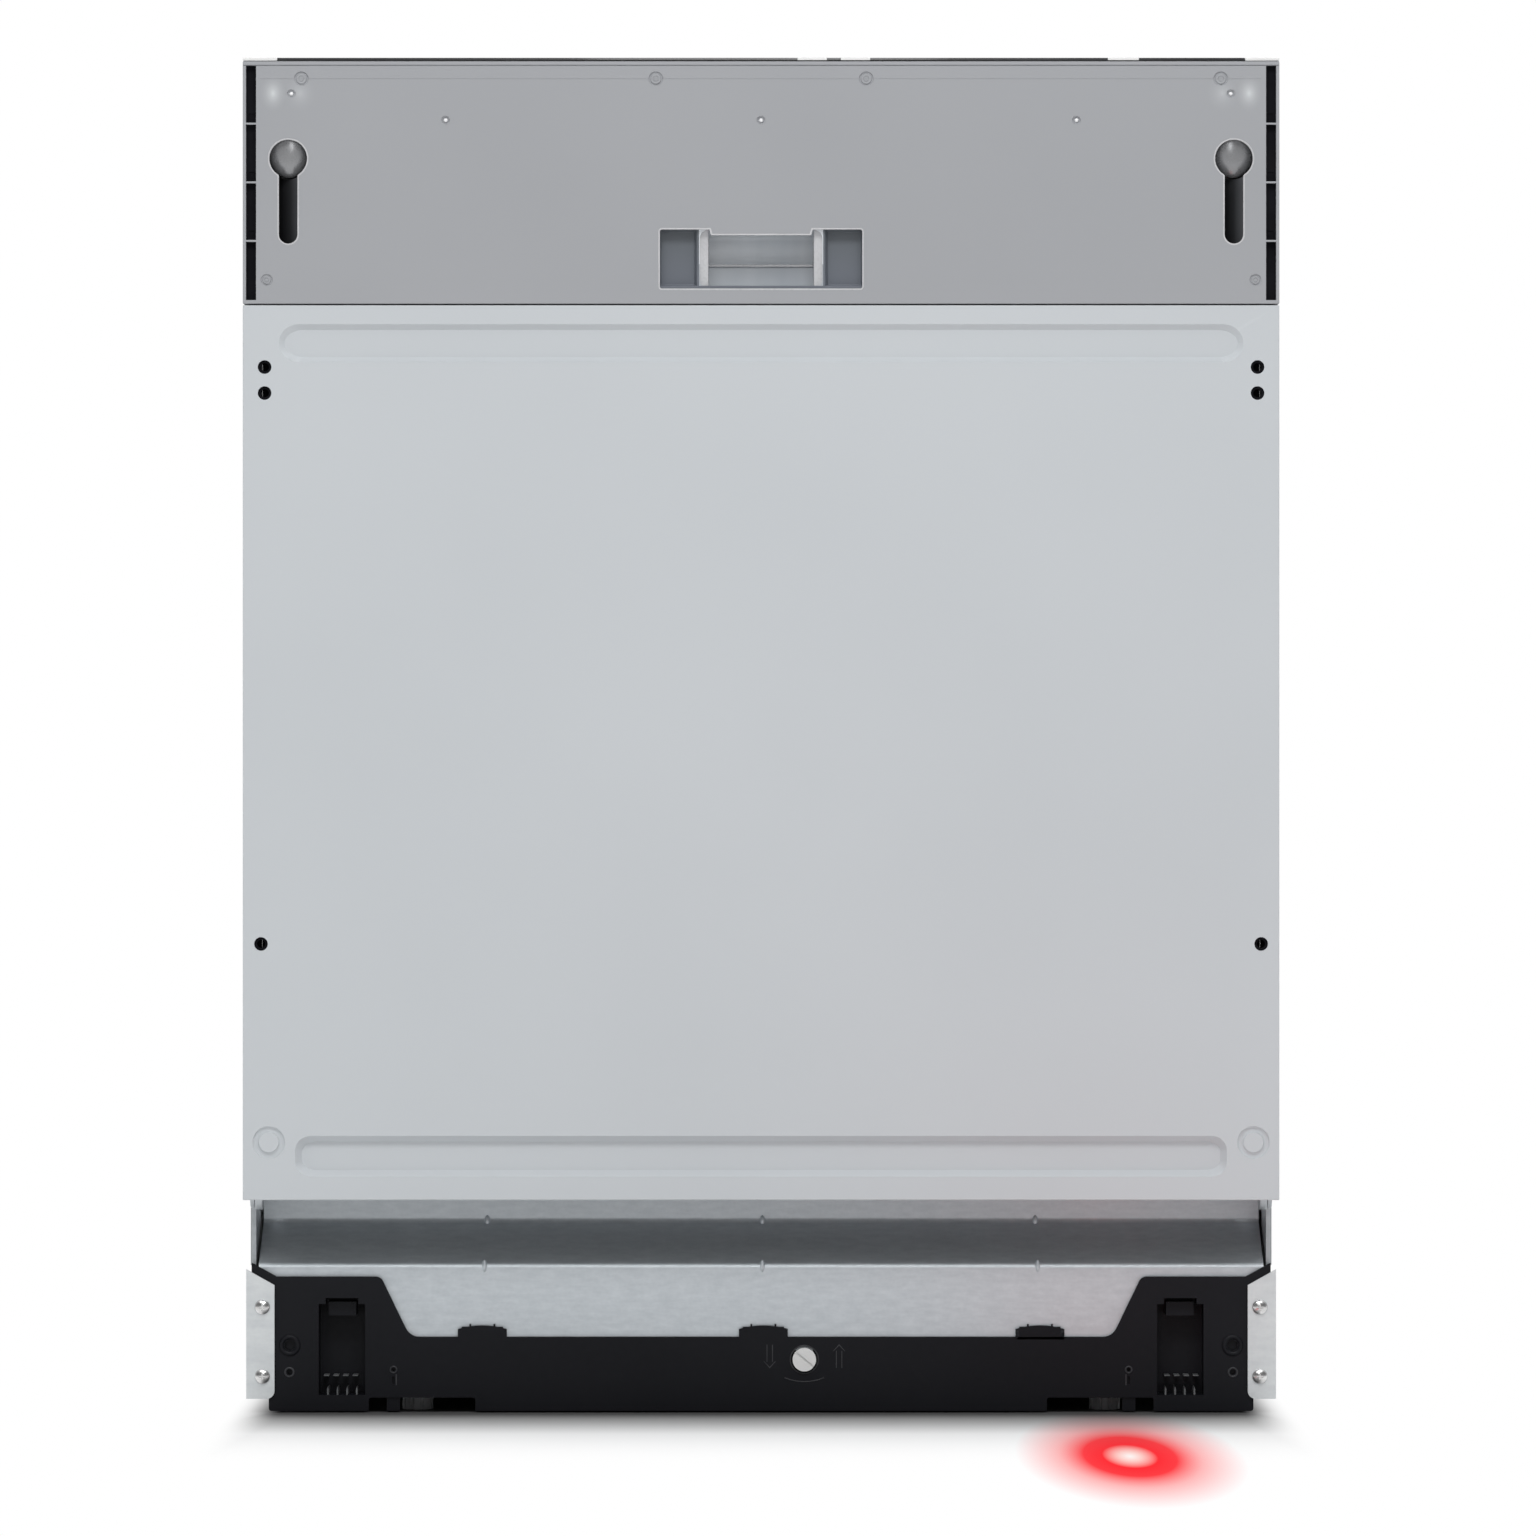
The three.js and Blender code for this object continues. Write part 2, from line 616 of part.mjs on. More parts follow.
// Grey moulded fascia with the grip opening and the two keyholes.
function makeConsole() {
  const y0 = front;
  const inside = side - plastic;
  const rear = innerFace - touch;
  const low = consoleBottom + grip.bottom;
  const high = consoleBottom + grip.top;
  let body = cut(
    block(-side, side, y0, rear, consoleBottom, consoleTop),
    block(-inside, inside, y0 + plastic, rear + 1, consoleBottom - 1, consoleTop - plastic),
    block(-grip.half, grip.half, y0 - 1, y0 + plastic + 1, low, high),
    keyholeCut(-1),
    keyholeCut(1),
  );
  const lip = block(-grip.lipHalf, grip.lipHalf, y0, y0 + plastic, high - grip.lipDrop, high + 1);
  piece("console_fascia", body.add(lip), greyPlastic, door);
}

// Cup behind the grip opening, split into three bays by two ribs.
function makeGripCup() {
  const y0 = front + plastic + touch;
  const y1 = front + grip.depth;
  const low = consoleBottom + grip.bottom;
  const high = consoleBottom + grip.top;
  const half = grip.half;
  let body = cut(
    block(-half - plastic, half + plastic, y0, y1 + plastic, low - plastic, high + plastic),
    block(-half, half, y0 - 1, y1, low, high),
  );
  for (const s of [-1, 1]) {
    body = body.add(sideBlock(s, grip.bayHalf, grip.bayHalf + 2, y0 + 12, y1 + 1, low - 1, high + 1));
  }
  piece("handle_recess", body, bluePlastic, door);
}

// Places of the buttons along the control strip, from left to right.
const buttons = [
  ["power_button", -(side - powerInset)],
  ["program_button", -30],
  ["start_button", side - powerInset],
];

function makeControls() {
  const y = front + buttonInset;
  const { x: sizeX, y: sizeY, thickness } = buttonSize;
  let strip = block(-side, side, front, innerFace - touch, stripBottom, stripBottom + stripThickness);
  for (const [name, x] of buttons) {
    const a = sizeX / 2 + touch;
    const b = sizeY / 2 + touch;
    strip = cut(strip, block(x - a, x + a, y - b, y + b, stripBottom - 1, height));
    const cap = block(-sizeX / 2, sizeX / 2, -sizeY / 2, sizeY / 2, -thickness, 0);
    piece(name, cap, controlBlack, door).position.set(x, y, height);
  }
  piece("control_panel", strip, controlBlack, door);
}

const lamp = { x: 201, inset: 9, r: 4, proud: 1, length: 7 };

function makeLamp() {
  const body = upright(disc(0, 0, lamp.r), 0, lamp.length);
  piece("indicator_lens", body, redLens, door).position.set(lamp.x, front + lamp.inset, doorBottom - lamp.proud);
}

// Stainless pan that closes the tub, with openings for the dispenser and the latch.
function makeLiner() {
  const y0 = front + 6.5;
  const inside = linerSide - sheet;
  const d = dispenser;
  const z0 = dispenserBottom;
  let body = cut(
    block(-linerSide, linerSide, y0, innerFace, linerBottom, linerTop),
    block(-inside, inside, y0 - 1, innerFace - sheet, linerBottom + sheet, linerTop - sheet),
  );
  body = cut(
    body,
    block(-d.half - slack, d.half + slack, innerFace - 5, innerFace + 1, z0 - slack, z0 + d.height + slack),
    block(-latch.half, latch.half, innerFace - 5, innerFace + 1, latchZ - latch.room, latchZ + latch.room),
  );
  piece("door_inner_liner", body, stainless, door);
}

function makeDispenser() {
  const d = dispenser;
  const y1 = innerFace + d.proud;
  const z0 = dispenserBottom;
  const z1 = z0 + d.height;
  const capZ = z0 + 48;
  const lidZ = z0 + 62;
  let body = join(
    block(-d.half, d.half, innerFace - 28, y1, z0, z1),
    block(d.lidX - d.lidHalf - lidTravel - 8, d.half + 8, innerFace + touch, y1, z0 - 8, z1 + 8),
  );
  const cup = 4;
  body = cut(
    body,
    block(d.lidX - d.lidHalf + cup, d.lidX + d.lidHalf - cup, y1 - 22, y1 + 1, lidZ - 30, lidZ + 30),
    facing(disc(d.capX, capZ, d.capR - 6), y1 - 16, y1 + 1),
  );
  piece("dispenser_body", body, greyPlastic, door);
  const lid = join(
    block(-d.lidHalf, d.lidHalf, touch, 2.5, -34, 34),
    block(-d.lidHalf + 4, -d.lidHalf + 9, 2, 5, -20, 20),
  );
  piece("dispenser_lid", lid, greyPlastic, door).position.set(d.lidX, y1, lidZ);
  const cap = join(facing(disc(0, 0, d.capR), touch, 4), block(-d.capR + 4, d.capR - 4, 3.5, 7, -2.5, 2.5));
  piece("rinse_aid_cap", cap, bluePlastic, door).position.set(d.capX, y1, capZ);
}

const latch = { half: 16, room: 9, depth: 20, tongue: 9, drop: 26, web: 6 };
const latchZ = linerTop - latch.drop;

// Latch case behind the console, and the striker on the tub that it grips.
function makeLatch() {
  const y1 = innerFace - sheet - touch;
  const half = latch.half + 8;
  const body = cut(
    block(-half, half, y1 - latch.depth, y1, latchZ - 14, latchZ + 14),
    block(-latch.half, latch.half, y1 - latch.depth + 3, y1 + 1, latchZ - latch.room, latchZ + latch.room),
  );
  piece("door_latch", body, blackPlastic, door);
  const y0 = innerFace - latch.depth / 2;
  const roof = tubTop - sheet - touch;
  const web = flangeFront + latch.web;
  const t = latch.tongue;
  const arm = block(-t, t, y0, web, latchZ - 1.5, latchZ + 1.5);
  const window = block(-t + 4, t - 4, y0 + 3, y0 + 10, latchZ - 3, latchZ + 3);
  const foot = join(block(-t, t, web - 2, web, latchZ, roof), block(-t, t, web - 2, web + 16, roof - 2, roof));
  piece("door_striker", cut(join(arm, foot), window), steel);
}

// Hinge: a plate with the pin on the base, and an arm up inside the door.
function makeHinge(name, s) {
  const armInner = linerSide + touch;
  const armOuter = armInner + armThickness;
  const plateInner = armOuter + touch;
  const plateOuter = plateInner + 2.5;
  const bore = boreRadius(pinRadius);
  const arm = cut(
    join(
      sideProfile(s, disc(pivotY, pivotZ, 10), armInner, armOuter),
      sideProfile(
        s,
        rectangle(pivotY - armHalfWidth, pivotY + armHalfWidth, pivotZ + 4, pivotZ + armLength),
        armInner,
        armOuter,
      ),
    ),
    sideProfile(s, disc(pivotY, pivotZ, bore), armInner - 1, armOuter + 1),
  );
  piece(`hinge_arm_${name}`, arm, galvanised, door);
  const neck = baseFace + 4;
  const rear = baseFace + 90;
  const top = flangeBottom - touch;
  const plate = join(
    sideProfile(
      s,
      outline([[neck, 50], [rear, 50], [rear, top], [pivotY, top], [pivotY, pivotZ], [neck, pivotZ - 10]]),
      plateInner,
      plateOuter,
    ),
    sideProfile(s, disc(pivotY, pivotZ, 9), plateInner, plateOuter),
    sideProfile(s, disc(pivotY, pivotZ, pinRadius), plateInner - pinLength, plateInner + 0.5),
  );
  piece(`hinge_bracket_${name}`, plate, galvanised);
  const wall = traySide - trayWall - touch;
  const springX = wall - spring.r - 1;
  const coil = join(
    facing(disc(s * springX, spring.z, spring.r, 12), rear - 20, rear + spring.length),
    sideBlock(s, springX, wall, rear - 26, rear - 16, spring.z - 3, spring.z + 3),
    sideBlock(s, springX, wall, rear + spring.length - 4, rear + spring.length + 6, spring.z - 3, spring.z + 3),
  );
  piece(`door_spring_${name}`, coil, steel);
}

// ---------------------------------------------------------------- racks
// Basket with its floor at the origin's height, drawn round x = 0.
function basket(half, y0, y1, z1) {
  const w = rackWall;
  return cut(block(-half, half, y0, y1, 0, z1), block(-half + w, half - w, y0 + w, y1 - w, w, z1 + 1));
}

function makeLowerRack() {
  const half = tubSide - sheet - lowerRack.sideGap;
  const axleZ = floorTop + touch + wheel.r - lowerRack.bottom;
  const wheelX = half - wheel.inset;
  const rows = [rackFront + wheel.frontY, rackBack - wheel.backY];
  let body = basket(half, rackFront, rackBack, lowerRack.height);
  rows.forEach((y, row) => {
    for (const s of [-1, 1]) {
      const inner = wheelX - wheel.thickness - slack;
      const post = sideBlock(s, inner - 4, inner, y - 8, y + 8, axleZ - 6, 1);
      const axle = sideProfile(s, disc(y, axleZ, wheel.axleR, 12), inner - 1, wheelX + 1);
      const hub = sideProfile(s, disc(y, axleZ, wheel.axleR + 2, 12), wheelX + touch, wheelX + 2);
      body = join(body, post, axle, hub);
      const bore = sideProfile(s, disc(0, 0, boreRadius(wheel.axleR), 24), inner - 5, wheelX + 5);
      const tyre = cut(sideProfile(s, disc(0, 0, wheel.r, 28), inner + slack, wheelX), bore);
      const name = `rack_wheel_${row ? "rear" : "front"}_${s > 0 ? "right" : "left"}`;
      piece(name, tyre, greyPlastic, lower).position.set(0, y, axleZ);
    }
  });
  piece("lower_rack", body, wire, lower);
  const c = { x0: -half + 12, x1: -half + 92, y0: rackFront + 12, y1: rackFront + 232 };
  const holder = cut(
    block(c.x0, c.x1, c.y0, c.y1, rackWall + touch, 120),
    block(c.x0 + 2, c.x1 - 2, c.y0 + 2, c.y1 - 2, rackWall + touch + 2, 121),
  );
  piece("cutlery_basket", holder, greyPlastic, lower);
  lower.position.z = lowerRack.bottom;
}

// Two-armed spray arm with a round hub, drawn with its underside at the origin.
function sprayArm(hubTop) {
  const blade = outline([
    [-armRadius, -14], [-armRadius + 14, -22], [-20, -22], [20, -26], [armRadius - 14, -20], [armRadius, -12],
    [armRadius, 12], [armRadius - 14, 20], [20, 22], [-20, 26], [-armRadius + 14, 20], [-armRadius, 14],
  ]);
  return join(upright(blade, 0, armHub.thickness), upright(disc(0, 0, 26), -2, hubTop));
}

function makeArms() {
  const z = floorTop + armHub.bottom + 2;
  const hubTop = armHub.thickness + 3;
  piece("lower_spray_arm", sprayArm(hubTop), greyPlastic).position.set(0, tubMiddle, z);
  const drop = armHub.thickness + armHub.hang;
  piece("upper_spray_arm", sprayArm(drop - touch), greyPlastic, upper).position.set(0, tubMiddle, -drop);
}

function makeUpperRack() {
  const half = tubSide - sheet - upperRack.sideGap;
  const runner = rail.rise + (rail.height - rail.grooveHeight) / 2 + 0.5;
  const wallInner = tubSide - sheet - touch;
  let body = basket(half, rackFront, rackBack, upperRack.height);
  bothSides((name, s) => {
    const reach = wallInner - rail.depth + rail.groove - slack;
    const bar = sideBlock(s, half - 1, reach, rackFront + 15, rackBack - 15, runner, runner + rail.grooveHeight - 1);
    body = body.add(bar);
    const z0 = upperRack.bottom + rail.rise;
    const channel = cut(
      sideBlock(s, wallInner - rail.depth, wallInner, rackFront + 5, rackBack - 5, z0, z0 + rail.height),
      sideBlock(
        s,
        wallInner - rail.depth - 1,
        wallInner - rail.depth + rail.groove,
        rackFront,
        rackBack,
        z0 + (rail.height - rail.grooveHeight) / 2,
        z0 + (rail.height + rail.grooveHeight) / 2,
      ),
    );
    piece(`upper_rail_${name}`, channel, stainless);
  });
  piece("upper_rack", body, wire, upper);
  upper.position.z = upperRack.bottom;
}

makeCrossmember();
makeBaseFront();
bothSides(makeSideBracket);
makeBracketScrew("bracket_screw_1", -side + screw.inset, screw.high);
makeBracketScrew("bracket_screw_2", -side + screw.inset, screw.low);
makeBracketScrew("bracket_screw_3", side - screw.inset, screw.high);
makeBracketScrew("bracket_screw_4", side - screw.inset, screw.low);
makeBaseTray();
makeFoot("front_foot_left", -frontFoot.x, front + frontFoot.inset, frontFoot, frontFoot.stemTop);
makeFoot("front_foot_right", frontFoot.x, front + frontFoot.inset, frontFoot, frontFoot.stemTop);
makeFoot("rear_foot", 0, back - rearFoot.inset, rearFoot, rearFoot.stemTop);
makeAdjuster();
makeCasing();
makeTub();
makeGasket();
makeSump();
makeFilters();
makeSoftener();
makePumps();
makeRiser();
makeRearFittings();
makeOuterPanel();
makeConsole();
makeGripCup();
makeControls();
makeLamp();
makeLiner();
makeDispenser();
makeLatch();
bothSides(makeHinge);
makeLowerRack();
makeUpperRack();
makeArms();

export default dishwasher;
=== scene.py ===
# A fully integrated built-in dishwasher: the looks of its door, base, tub and racks, on a white studio floor.
import json
import math

import bmesh
import bpy
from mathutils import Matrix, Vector

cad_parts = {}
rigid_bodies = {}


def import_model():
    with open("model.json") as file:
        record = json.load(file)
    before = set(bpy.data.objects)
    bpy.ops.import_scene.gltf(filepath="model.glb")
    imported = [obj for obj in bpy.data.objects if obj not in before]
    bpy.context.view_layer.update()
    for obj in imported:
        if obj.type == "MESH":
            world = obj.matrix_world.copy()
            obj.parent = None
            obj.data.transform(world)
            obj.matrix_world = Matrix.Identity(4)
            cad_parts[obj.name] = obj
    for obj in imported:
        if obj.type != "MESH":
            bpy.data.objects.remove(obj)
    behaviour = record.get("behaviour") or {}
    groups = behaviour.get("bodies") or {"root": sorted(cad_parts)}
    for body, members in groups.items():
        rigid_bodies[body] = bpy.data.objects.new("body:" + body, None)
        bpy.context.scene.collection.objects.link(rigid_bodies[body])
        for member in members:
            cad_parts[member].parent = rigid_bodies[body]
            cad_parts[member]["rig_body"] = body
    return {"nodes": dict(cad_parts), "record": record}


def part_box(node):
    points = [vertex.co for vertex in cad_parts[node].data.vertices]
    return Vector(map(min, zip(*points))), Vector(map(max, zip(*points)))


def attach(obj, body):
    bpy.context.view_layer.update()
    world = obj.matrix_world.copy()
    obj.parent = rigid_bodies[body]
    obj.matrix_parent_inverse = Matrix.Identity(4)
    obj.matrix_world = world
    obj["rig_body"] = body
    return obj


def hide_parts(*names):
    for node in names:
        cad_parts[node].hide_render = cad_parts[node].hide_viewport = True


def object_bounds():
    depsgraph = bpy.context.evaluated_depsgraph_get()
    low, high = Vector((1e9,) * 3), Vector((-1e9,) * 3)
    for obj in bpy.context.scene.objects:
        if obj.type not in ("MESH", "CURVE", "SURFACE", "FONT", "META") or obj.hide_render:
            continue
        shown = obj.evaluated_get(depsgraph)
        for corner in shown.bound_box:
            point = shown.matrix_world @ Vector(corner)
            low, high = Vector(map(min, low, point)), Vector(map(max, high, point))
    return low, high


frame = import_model()
cad_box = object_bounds()

# ---------------------------------------------------------------- camera
# A long lens, level and square to the door, as for a catalogue picture of an appliance.
scene = bpy.context.scene
scene.view_settings.view_transform = "Standard"
low, high = cad_box
door_front = low[1]
camera_distance = 4.5
camera_height = 0.3745
view_width = 0.886
camera_data = bpy.data.cameras.new("camera")
camera_data.sensor_width = 36
camera_data.lens = camera_data.sensor_width * camera_distance / view_width
camera = bpy.data.objects.new("camera", camera_data)
camera.location = (0.004, door_front - camera_distance, camera_height)
camera.rotation_euler = (math.radians(90), 0, 0)
scene.collection.objects.link(camera)
scene.camera = camera

# ---------------------------------------------------------------- studio
# A sky that is white at the level of the machine and grey above it, dimmer on the camera's side. A wide soft box
# hangs overhead, a second one high in front, and a narrow faint one stands above the camera. The floor is white.
world = bpy.data.worlds.new("studio")
world.use_nodes = True
sky = world.node_tree
direction = sky.nodes.new("ShaderNodeTexCoord")
split = sky.nodes.new("ShaderNodeSeparateXYZ")
bands = sky.nodes.new("ShaderNodeValToRGB")
levels = [(0.0, 0.5), (0.44, 1.0), (0.56, 1.0), (0.62, 0.42), (0.8, 0.6), (1.0, 1.0)]
while len(bands.color_ramp.elements) < len(levels):
    bands.color_ramp.elements.new(0.5)
for element, (spot, level) in zip(bands.color_ramp.elements, levels):
    element.position = spot
    element.color = (level, level, level, 1)
half = sky.nodes.new("ShaderNodeMath")
half.operation = "MULTIPLY_ADD"
half.inputs[1].default_value = half.inputs[2].default_value = 0.5
sky.links.new(direction.outputs["Generated"], split.inputs[0])
sky.links.new(split.outputs["Z"], half.inputs[0])
sky.links.new(half.outputs[0], bands.inputs[0])
sky.links.new(bands.outputs["Color"], sky.nodes["Background"].inputs["Color"])
front_dim = sky.nodes.new("ShaderNodeMapRange")
for socket, value in (("From Min", -0.5), ("From Max", 0.3), ("To Min", 0.32), ("To Max", 1.0)):
    front_dim.inputs[socket].default_value = value
sky.links.new(split.outputs["Y"], front_dim.inputs["Value"])
sky.links.new(front_dim.outputs[0], sky.nodes["Background"].inputs["Strength"])
scene.world = world


def soft_lamp(name, place, aim, size, power):
    data = bpy.data.lights.new(name, "AREA")
    data.shape = "RECTANGLE"
    data.size, data.size_y = size
    data.energy = power
    lamp = bpy.data.objects.new(name, data)
    lamp.location = place
    lamp.rotation_euler = (Vector(aim) - Vector(place)).to_track_quat("-Z", "Y").to_euler()
    scene.collection.objects.link(lamp)


soft_lamp("overhead", (0, -0.6, 3.2), (0, -0.6, 0), (5.0, 5.0), 42)
soft_lamp("high_front", (0, -2.4, 2.7), (0, -0.3, 0.3), (2.6, 0.8), 44)
soft_lamp("eye_level", (0, -2.3, 1.35), (0, -0.3, 0.75), (0.3, 1.1), 5)

bpy.ops.mesh.primitive_plane_add(size=24)
floor = bpy.context.object
floor.name = "floor"


# ---------------------------------------------------------------- door sheet
# The door's outer skin is light grey painted steel, folded back round its edges. Two long embosses, two ring
# embosses and six screw holes for the furniture door are pressed and punched into it.
MM = 0.001


class Shade:
    """A socket of a material. Sums, products and powers of these add Math nodes."""

    def __init__(self, finish, socket):
        self.finish = finish
        self.socket = socket

    def math(self, operation, other, swap=False):
        pair = (other, self) if swap else (self, other)
        return self.finish.node("ShaderNodeMath", {"operation": operation}, pair)

    def __add__(self, other):
        return self.math("ADD", other)

    def __radd__(self, other):
        return self.math("ADD", other, swap=True)

    def __sub__(self, other):
        return self.math("SUBTRACT", other)

    def __rsub__(self, other):
        return self.math("SUBTRACT", other, swap=True)

    def __mul__(self, other):
        return self.math("MULTIPLY", other)

    def __truediv__(self, other):
        return self.math("DIVIDE", other)

    def above(self, edge):
        return self.math("GREATER_THAN", edge)


class Finish:
    """A material under one name, with its Principled shader and the nodes that feed it."""

    def __init__(self, name, **surface):
        self.material = bpy.data.materials.new(name)
        self.material.use_nodes = True
        self.tree = self.material.node_tree
        self.shader = self.tree.nodes["Principled BSDF"]
        self.set(**surface)

    def put(self, target, value):
        if isinstance(value, Shade):
            self.tree.links.new(value.socket, target)
        elif isinstance(value, tuple) and len(value) == 3 and target.type == "RGBA":
            target.default_value = (*value, 1)
        else:
            target.default_value = value

    def set(self, **surface):
        for key, value in surface.items():
            self.put(self.shader.inputs[key.replace("_", " ").title().replace("Ior", "IOR")], value)

    def node(self, kind, settings, inputs, out=0):
        made = self.tree.nodes.new(kind)
        for key, value in settings.items():
            setattr(made, key, value)
        pairs = inputs.items() if isinstance(inputs, dict) else enumerate(inputs)
        for key, value in pairs:
            self.put(made.inputs[key], value)
        return Shade(self, made.outputs[out])

    def place(self):
        return self.node("ShaderNodeTexCoord", {}, {}, "Object")

    def along(self, axis):
        """How far a point lies along one of the object's axes, in metres."""
        return self.node("ShaderNodeSeparateXYZ", {}, {"Vector": self.place()}, axis)

    def stretched(self, x, y, z):
        return self.node("ShaderNodeMapping", {}, {"Vector": self.place(), "Scale": (x, y, z)})

    def noise(self, scale, detail=3.0, vector=None):
        inputs = {"Vector": vector or self.place(), "Scale": scale, "Detail": detail}
        return self.node("ShaderNodeTexNoise", {}, inputs)

    def ramp(self, value, stops):
        made = self.tree.nodes.new("ShaderNodeValToRGB")
        ramp = made.color_ramp
        while len(ramp.elements) < len(stops):
            ramp.elements.new(0.5)
        for element, (spot, shade) in zip(ramp.elements, stops):
            element.position = spot
            element.color = (*shade, 1)
        self.put(made.inputs[0], value)
        return Shade(self, made.outputs["Color"])

    def mix(self, factor, a, b):
        made = self.tree.nodes.new("ShaderNodeMix")
        made.data_type = "RGBA"
        self.put(made.inputs["Factor"], factor)
        self.put(made.inputs[6], a)
        self.put(made.inputs[7], b)
        return Shade(self, made.outputs[2])

    def relief(self, height, distance, strength=1.0):
        inputs = {"Height": height, "Distance": distance, "Strength": strength}
        self.set(normal=self.node("ShaderNodeBump", {}, inputs))


def floor_finish():
    """Plain white at a distance, greying far in front. Near the machine it takes real light and shade, with a painted
    shadow in its colour that is darkest at the machine's foot, and in front a long red spot of painted light for the
    floor lamp's beam."""
    finish = Finish("studio_floor", roughness=0.7, specular_ior_level=0.1)

    def doubled(a, b):
        multiply = {"data_type": "RGBA", "blend_type": "MULTIPLY"}
        return finish.node("ShaderNodeMix", multiply, {"Factor": 1.0, 6: a, 7: b}, 2)

    def rise(value, start, end):
        inputs = {"Value": value, "From Min": start, "From Max": end}
        return finish.node("ShaderNodeMapRange", {"interpolation_type": "SMOOTHSTEP"}, inputs)

    across, deep = finish.along("X"), finish.along("Y")
    aside = across.math("ABSOLUTE", 0) - (high[0] - 0.012)
    before = (low[1] + 0.02) - deep
    out = aside.math("MAXIMUM", before * 0.3).math("MAXIMUM", 0)
    # Painted red light: the floor lamp's spot is painted into the floor's colour and its white emission.
    spot_place, spot_reach = (0.201, -0.53), (0.062, 0.3)
    spot_x, spot_y = (across - spot_place[0]) / spot_reach[0], (deep - spot_place[1]) / spot_reach[1]
    spot = (spot_x * spot_x + spot_y * spot_y).math("SQRT", 0)
    stops = [(0.0, (1, 0.95, 0.93)), (0.1, (1, 0.62, 0.58)), (0.24, (1, 0.03, 0.04)), (0.4, (1, 0.05, 0.06))]
    painted_red_light = finish.ramp(spot, stops + [(0.62, (1, 0.5, 0.5)), (1.0, (1, 1, 1))])
    # Painted shadow: the colour greys towards the machine's foot.
    painted_shadow_greys = [(place, (level,) * 3) for place, level in ((0.0, 0.1), (0.1, 0.35), (0.4, 0.85), (1.0, 1))]
    finish.set(base_color=doubled(finish.ramp(out / 0.1, painted_shadow_greys), painted_red_light))
    dimmer = finish.ramp((0.0 - deep - 1.1) / 1.4, [(0.0, (1, 1, 1)), (1.0, (0.55, 0.55, 0.55))])
    white = finish.node("ShaderNodeEmission", {}, {"Color": doubled(dimmer, painted_red_light), "Strength": 1.0})
    blend = rise(aside, -0.008, 0.022).math("MAXIMUM", rise(before, 0.05, 0.36))
    blend = blend.math("MAXIMUM", rise(deep - high[1], 0.0, 0.15))
    mixed = finish.node("ShaderNodeMixShader", {}, {0: blend, 1: Shade(finish, finish.shader.outputs[0]), 2: white})
    finish.tree.links.new(mixed.socket, finish.tree.nodes["Material Output"].inputs["Surface"])
    return finish.material


floor.data.materials.append(floor_finish())


def paint_finish():
    """Light grey enamel: faint cloudiness and a fine orange peel."""
    finish = Finish("painted_sheet", metallic=0.0, specular_ior_level=0.35)
    cloud = finish.noise(5.0, 2.0)
    finish.set(base_color=finish.ramp(cloud, [(0.3, (0.555, 0.585, 0.61)), (0.7, (0.575, 0.605, 0.63))]))
    finish.set(roughness=0.42 + finish.noise(300.0, 1.0) * 0.08)
    finish.relief(finish.noise(700.0, 1.0), 0.00004, 0.35)
    return finish.material


painted_sheet = paint_finish()


def span(s, a, b):
    """Two distances from the middle, on the side that s says, as the lower and the higher x."""
    return sorted((s * a, s * b))


def corners(node):
    """A CAD node's lowest and highest corners, in millimetres."""
    lo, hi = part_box(node)
    return [v / MM for v in lo], [v / MM for v in hi]


def alone(obj):
    bpy.ops.object.select_all(action="DESELECT")
    obj.select_set(True)
    bpy.context.view_layer.objects.active = obj


def settle():
    bpy.ops.object.transform_apply(location=True, rotation=True, scale=True)
    return bpy.context.object


def block(name, x0, x1, y0, y1, z0, z1):
    bpy.ops.object.select_all(action="DESELECT")
    middle = [(a + b) / 2 * MM for a, b in ((x0, x1), (y0, y1), (z0, z1))]
    bpy.ops.mesh.primitive_cube_add(size=1, location=middle)
    obj = bpy.context.object
    obj.name = name
    obj.scale = ((x1 - x0) * MM, (y1 - y0) * MM, (z1 - z0) * MM)
    return settle()


TURNS = {"x": (0, math.pi / 2, 0), "y": (math.pi / 2, 0, 0), "z": (0, 0, 0)}


def rod(name, axis, x, y, z, r, length, sides=40, top=None):
    """A cylinder about its middle, or a cone where it has another radius at its far end."""
    bpy.ops.object.select_all(action="DESELECT")
    where = {"location": (x * MM, y * MM, z * MM), "rotation": TURNS[axis]}
    if top is None:
        bpy.ops.mesh.primitive_cylinder_add(vertices=sides, radius=r * MM, depth=length * MM, **where)
    else:
        bpy.ops.mesh.primitive_cone_add(vertices=sides, radius1=r * MM, radius2=top * MM, depth=length * MM, **where)
    bpy.context.object.name = name
    return settle()


def ball(name, x, y, z, rx, ry, rz, segments=32):
    bpy.ops.object.select_all(action="DESELECT")
    where = (x * MM, y * MM, z * MM)
    bpy.ops.mesh.primitive_uv_sphere_add(segments=segments, ring_count=segments // 2, location=where)
    obj = bpy.context.object
    obj.name = name
    obj.scale = (rx * MM, ry * MM, rz * MM)
    return settle()


def ring(name, x, y, z, r, section, axis="y"):
    bpy.ops.object.select_all(action="DESELECT")
    bpy.ops.mesh.primitive_torus_add(
        major_segments=48, minor_segments=12, major_radius=r * MM, minor_radius=section * MM,
        location=(x * MM, y * MM, z * MM), rotation=TURNS[axis],
    )
    bpy.context.object.name = name
    return settle()


def weld(obj, *others, operation="UNION"):
    """Joins or cuts solids with the Boolean modifier, and removes the tools."""
    for tool in others:
        alone(obj)
        modifier = obj.modifiers.new("weld", "BOOLEAN")
        modifier.operation = operation
        modifier.solver = "EXACT"
        modifier.object = tool
        bpy.ops.object.modifier_apply(modifier=modifier.name)
        bpy.data.objects.remove(tool)
    return obj


def carve(obj, *tools):
    return weld(obj, *tools, operation="DIFFERENCE")


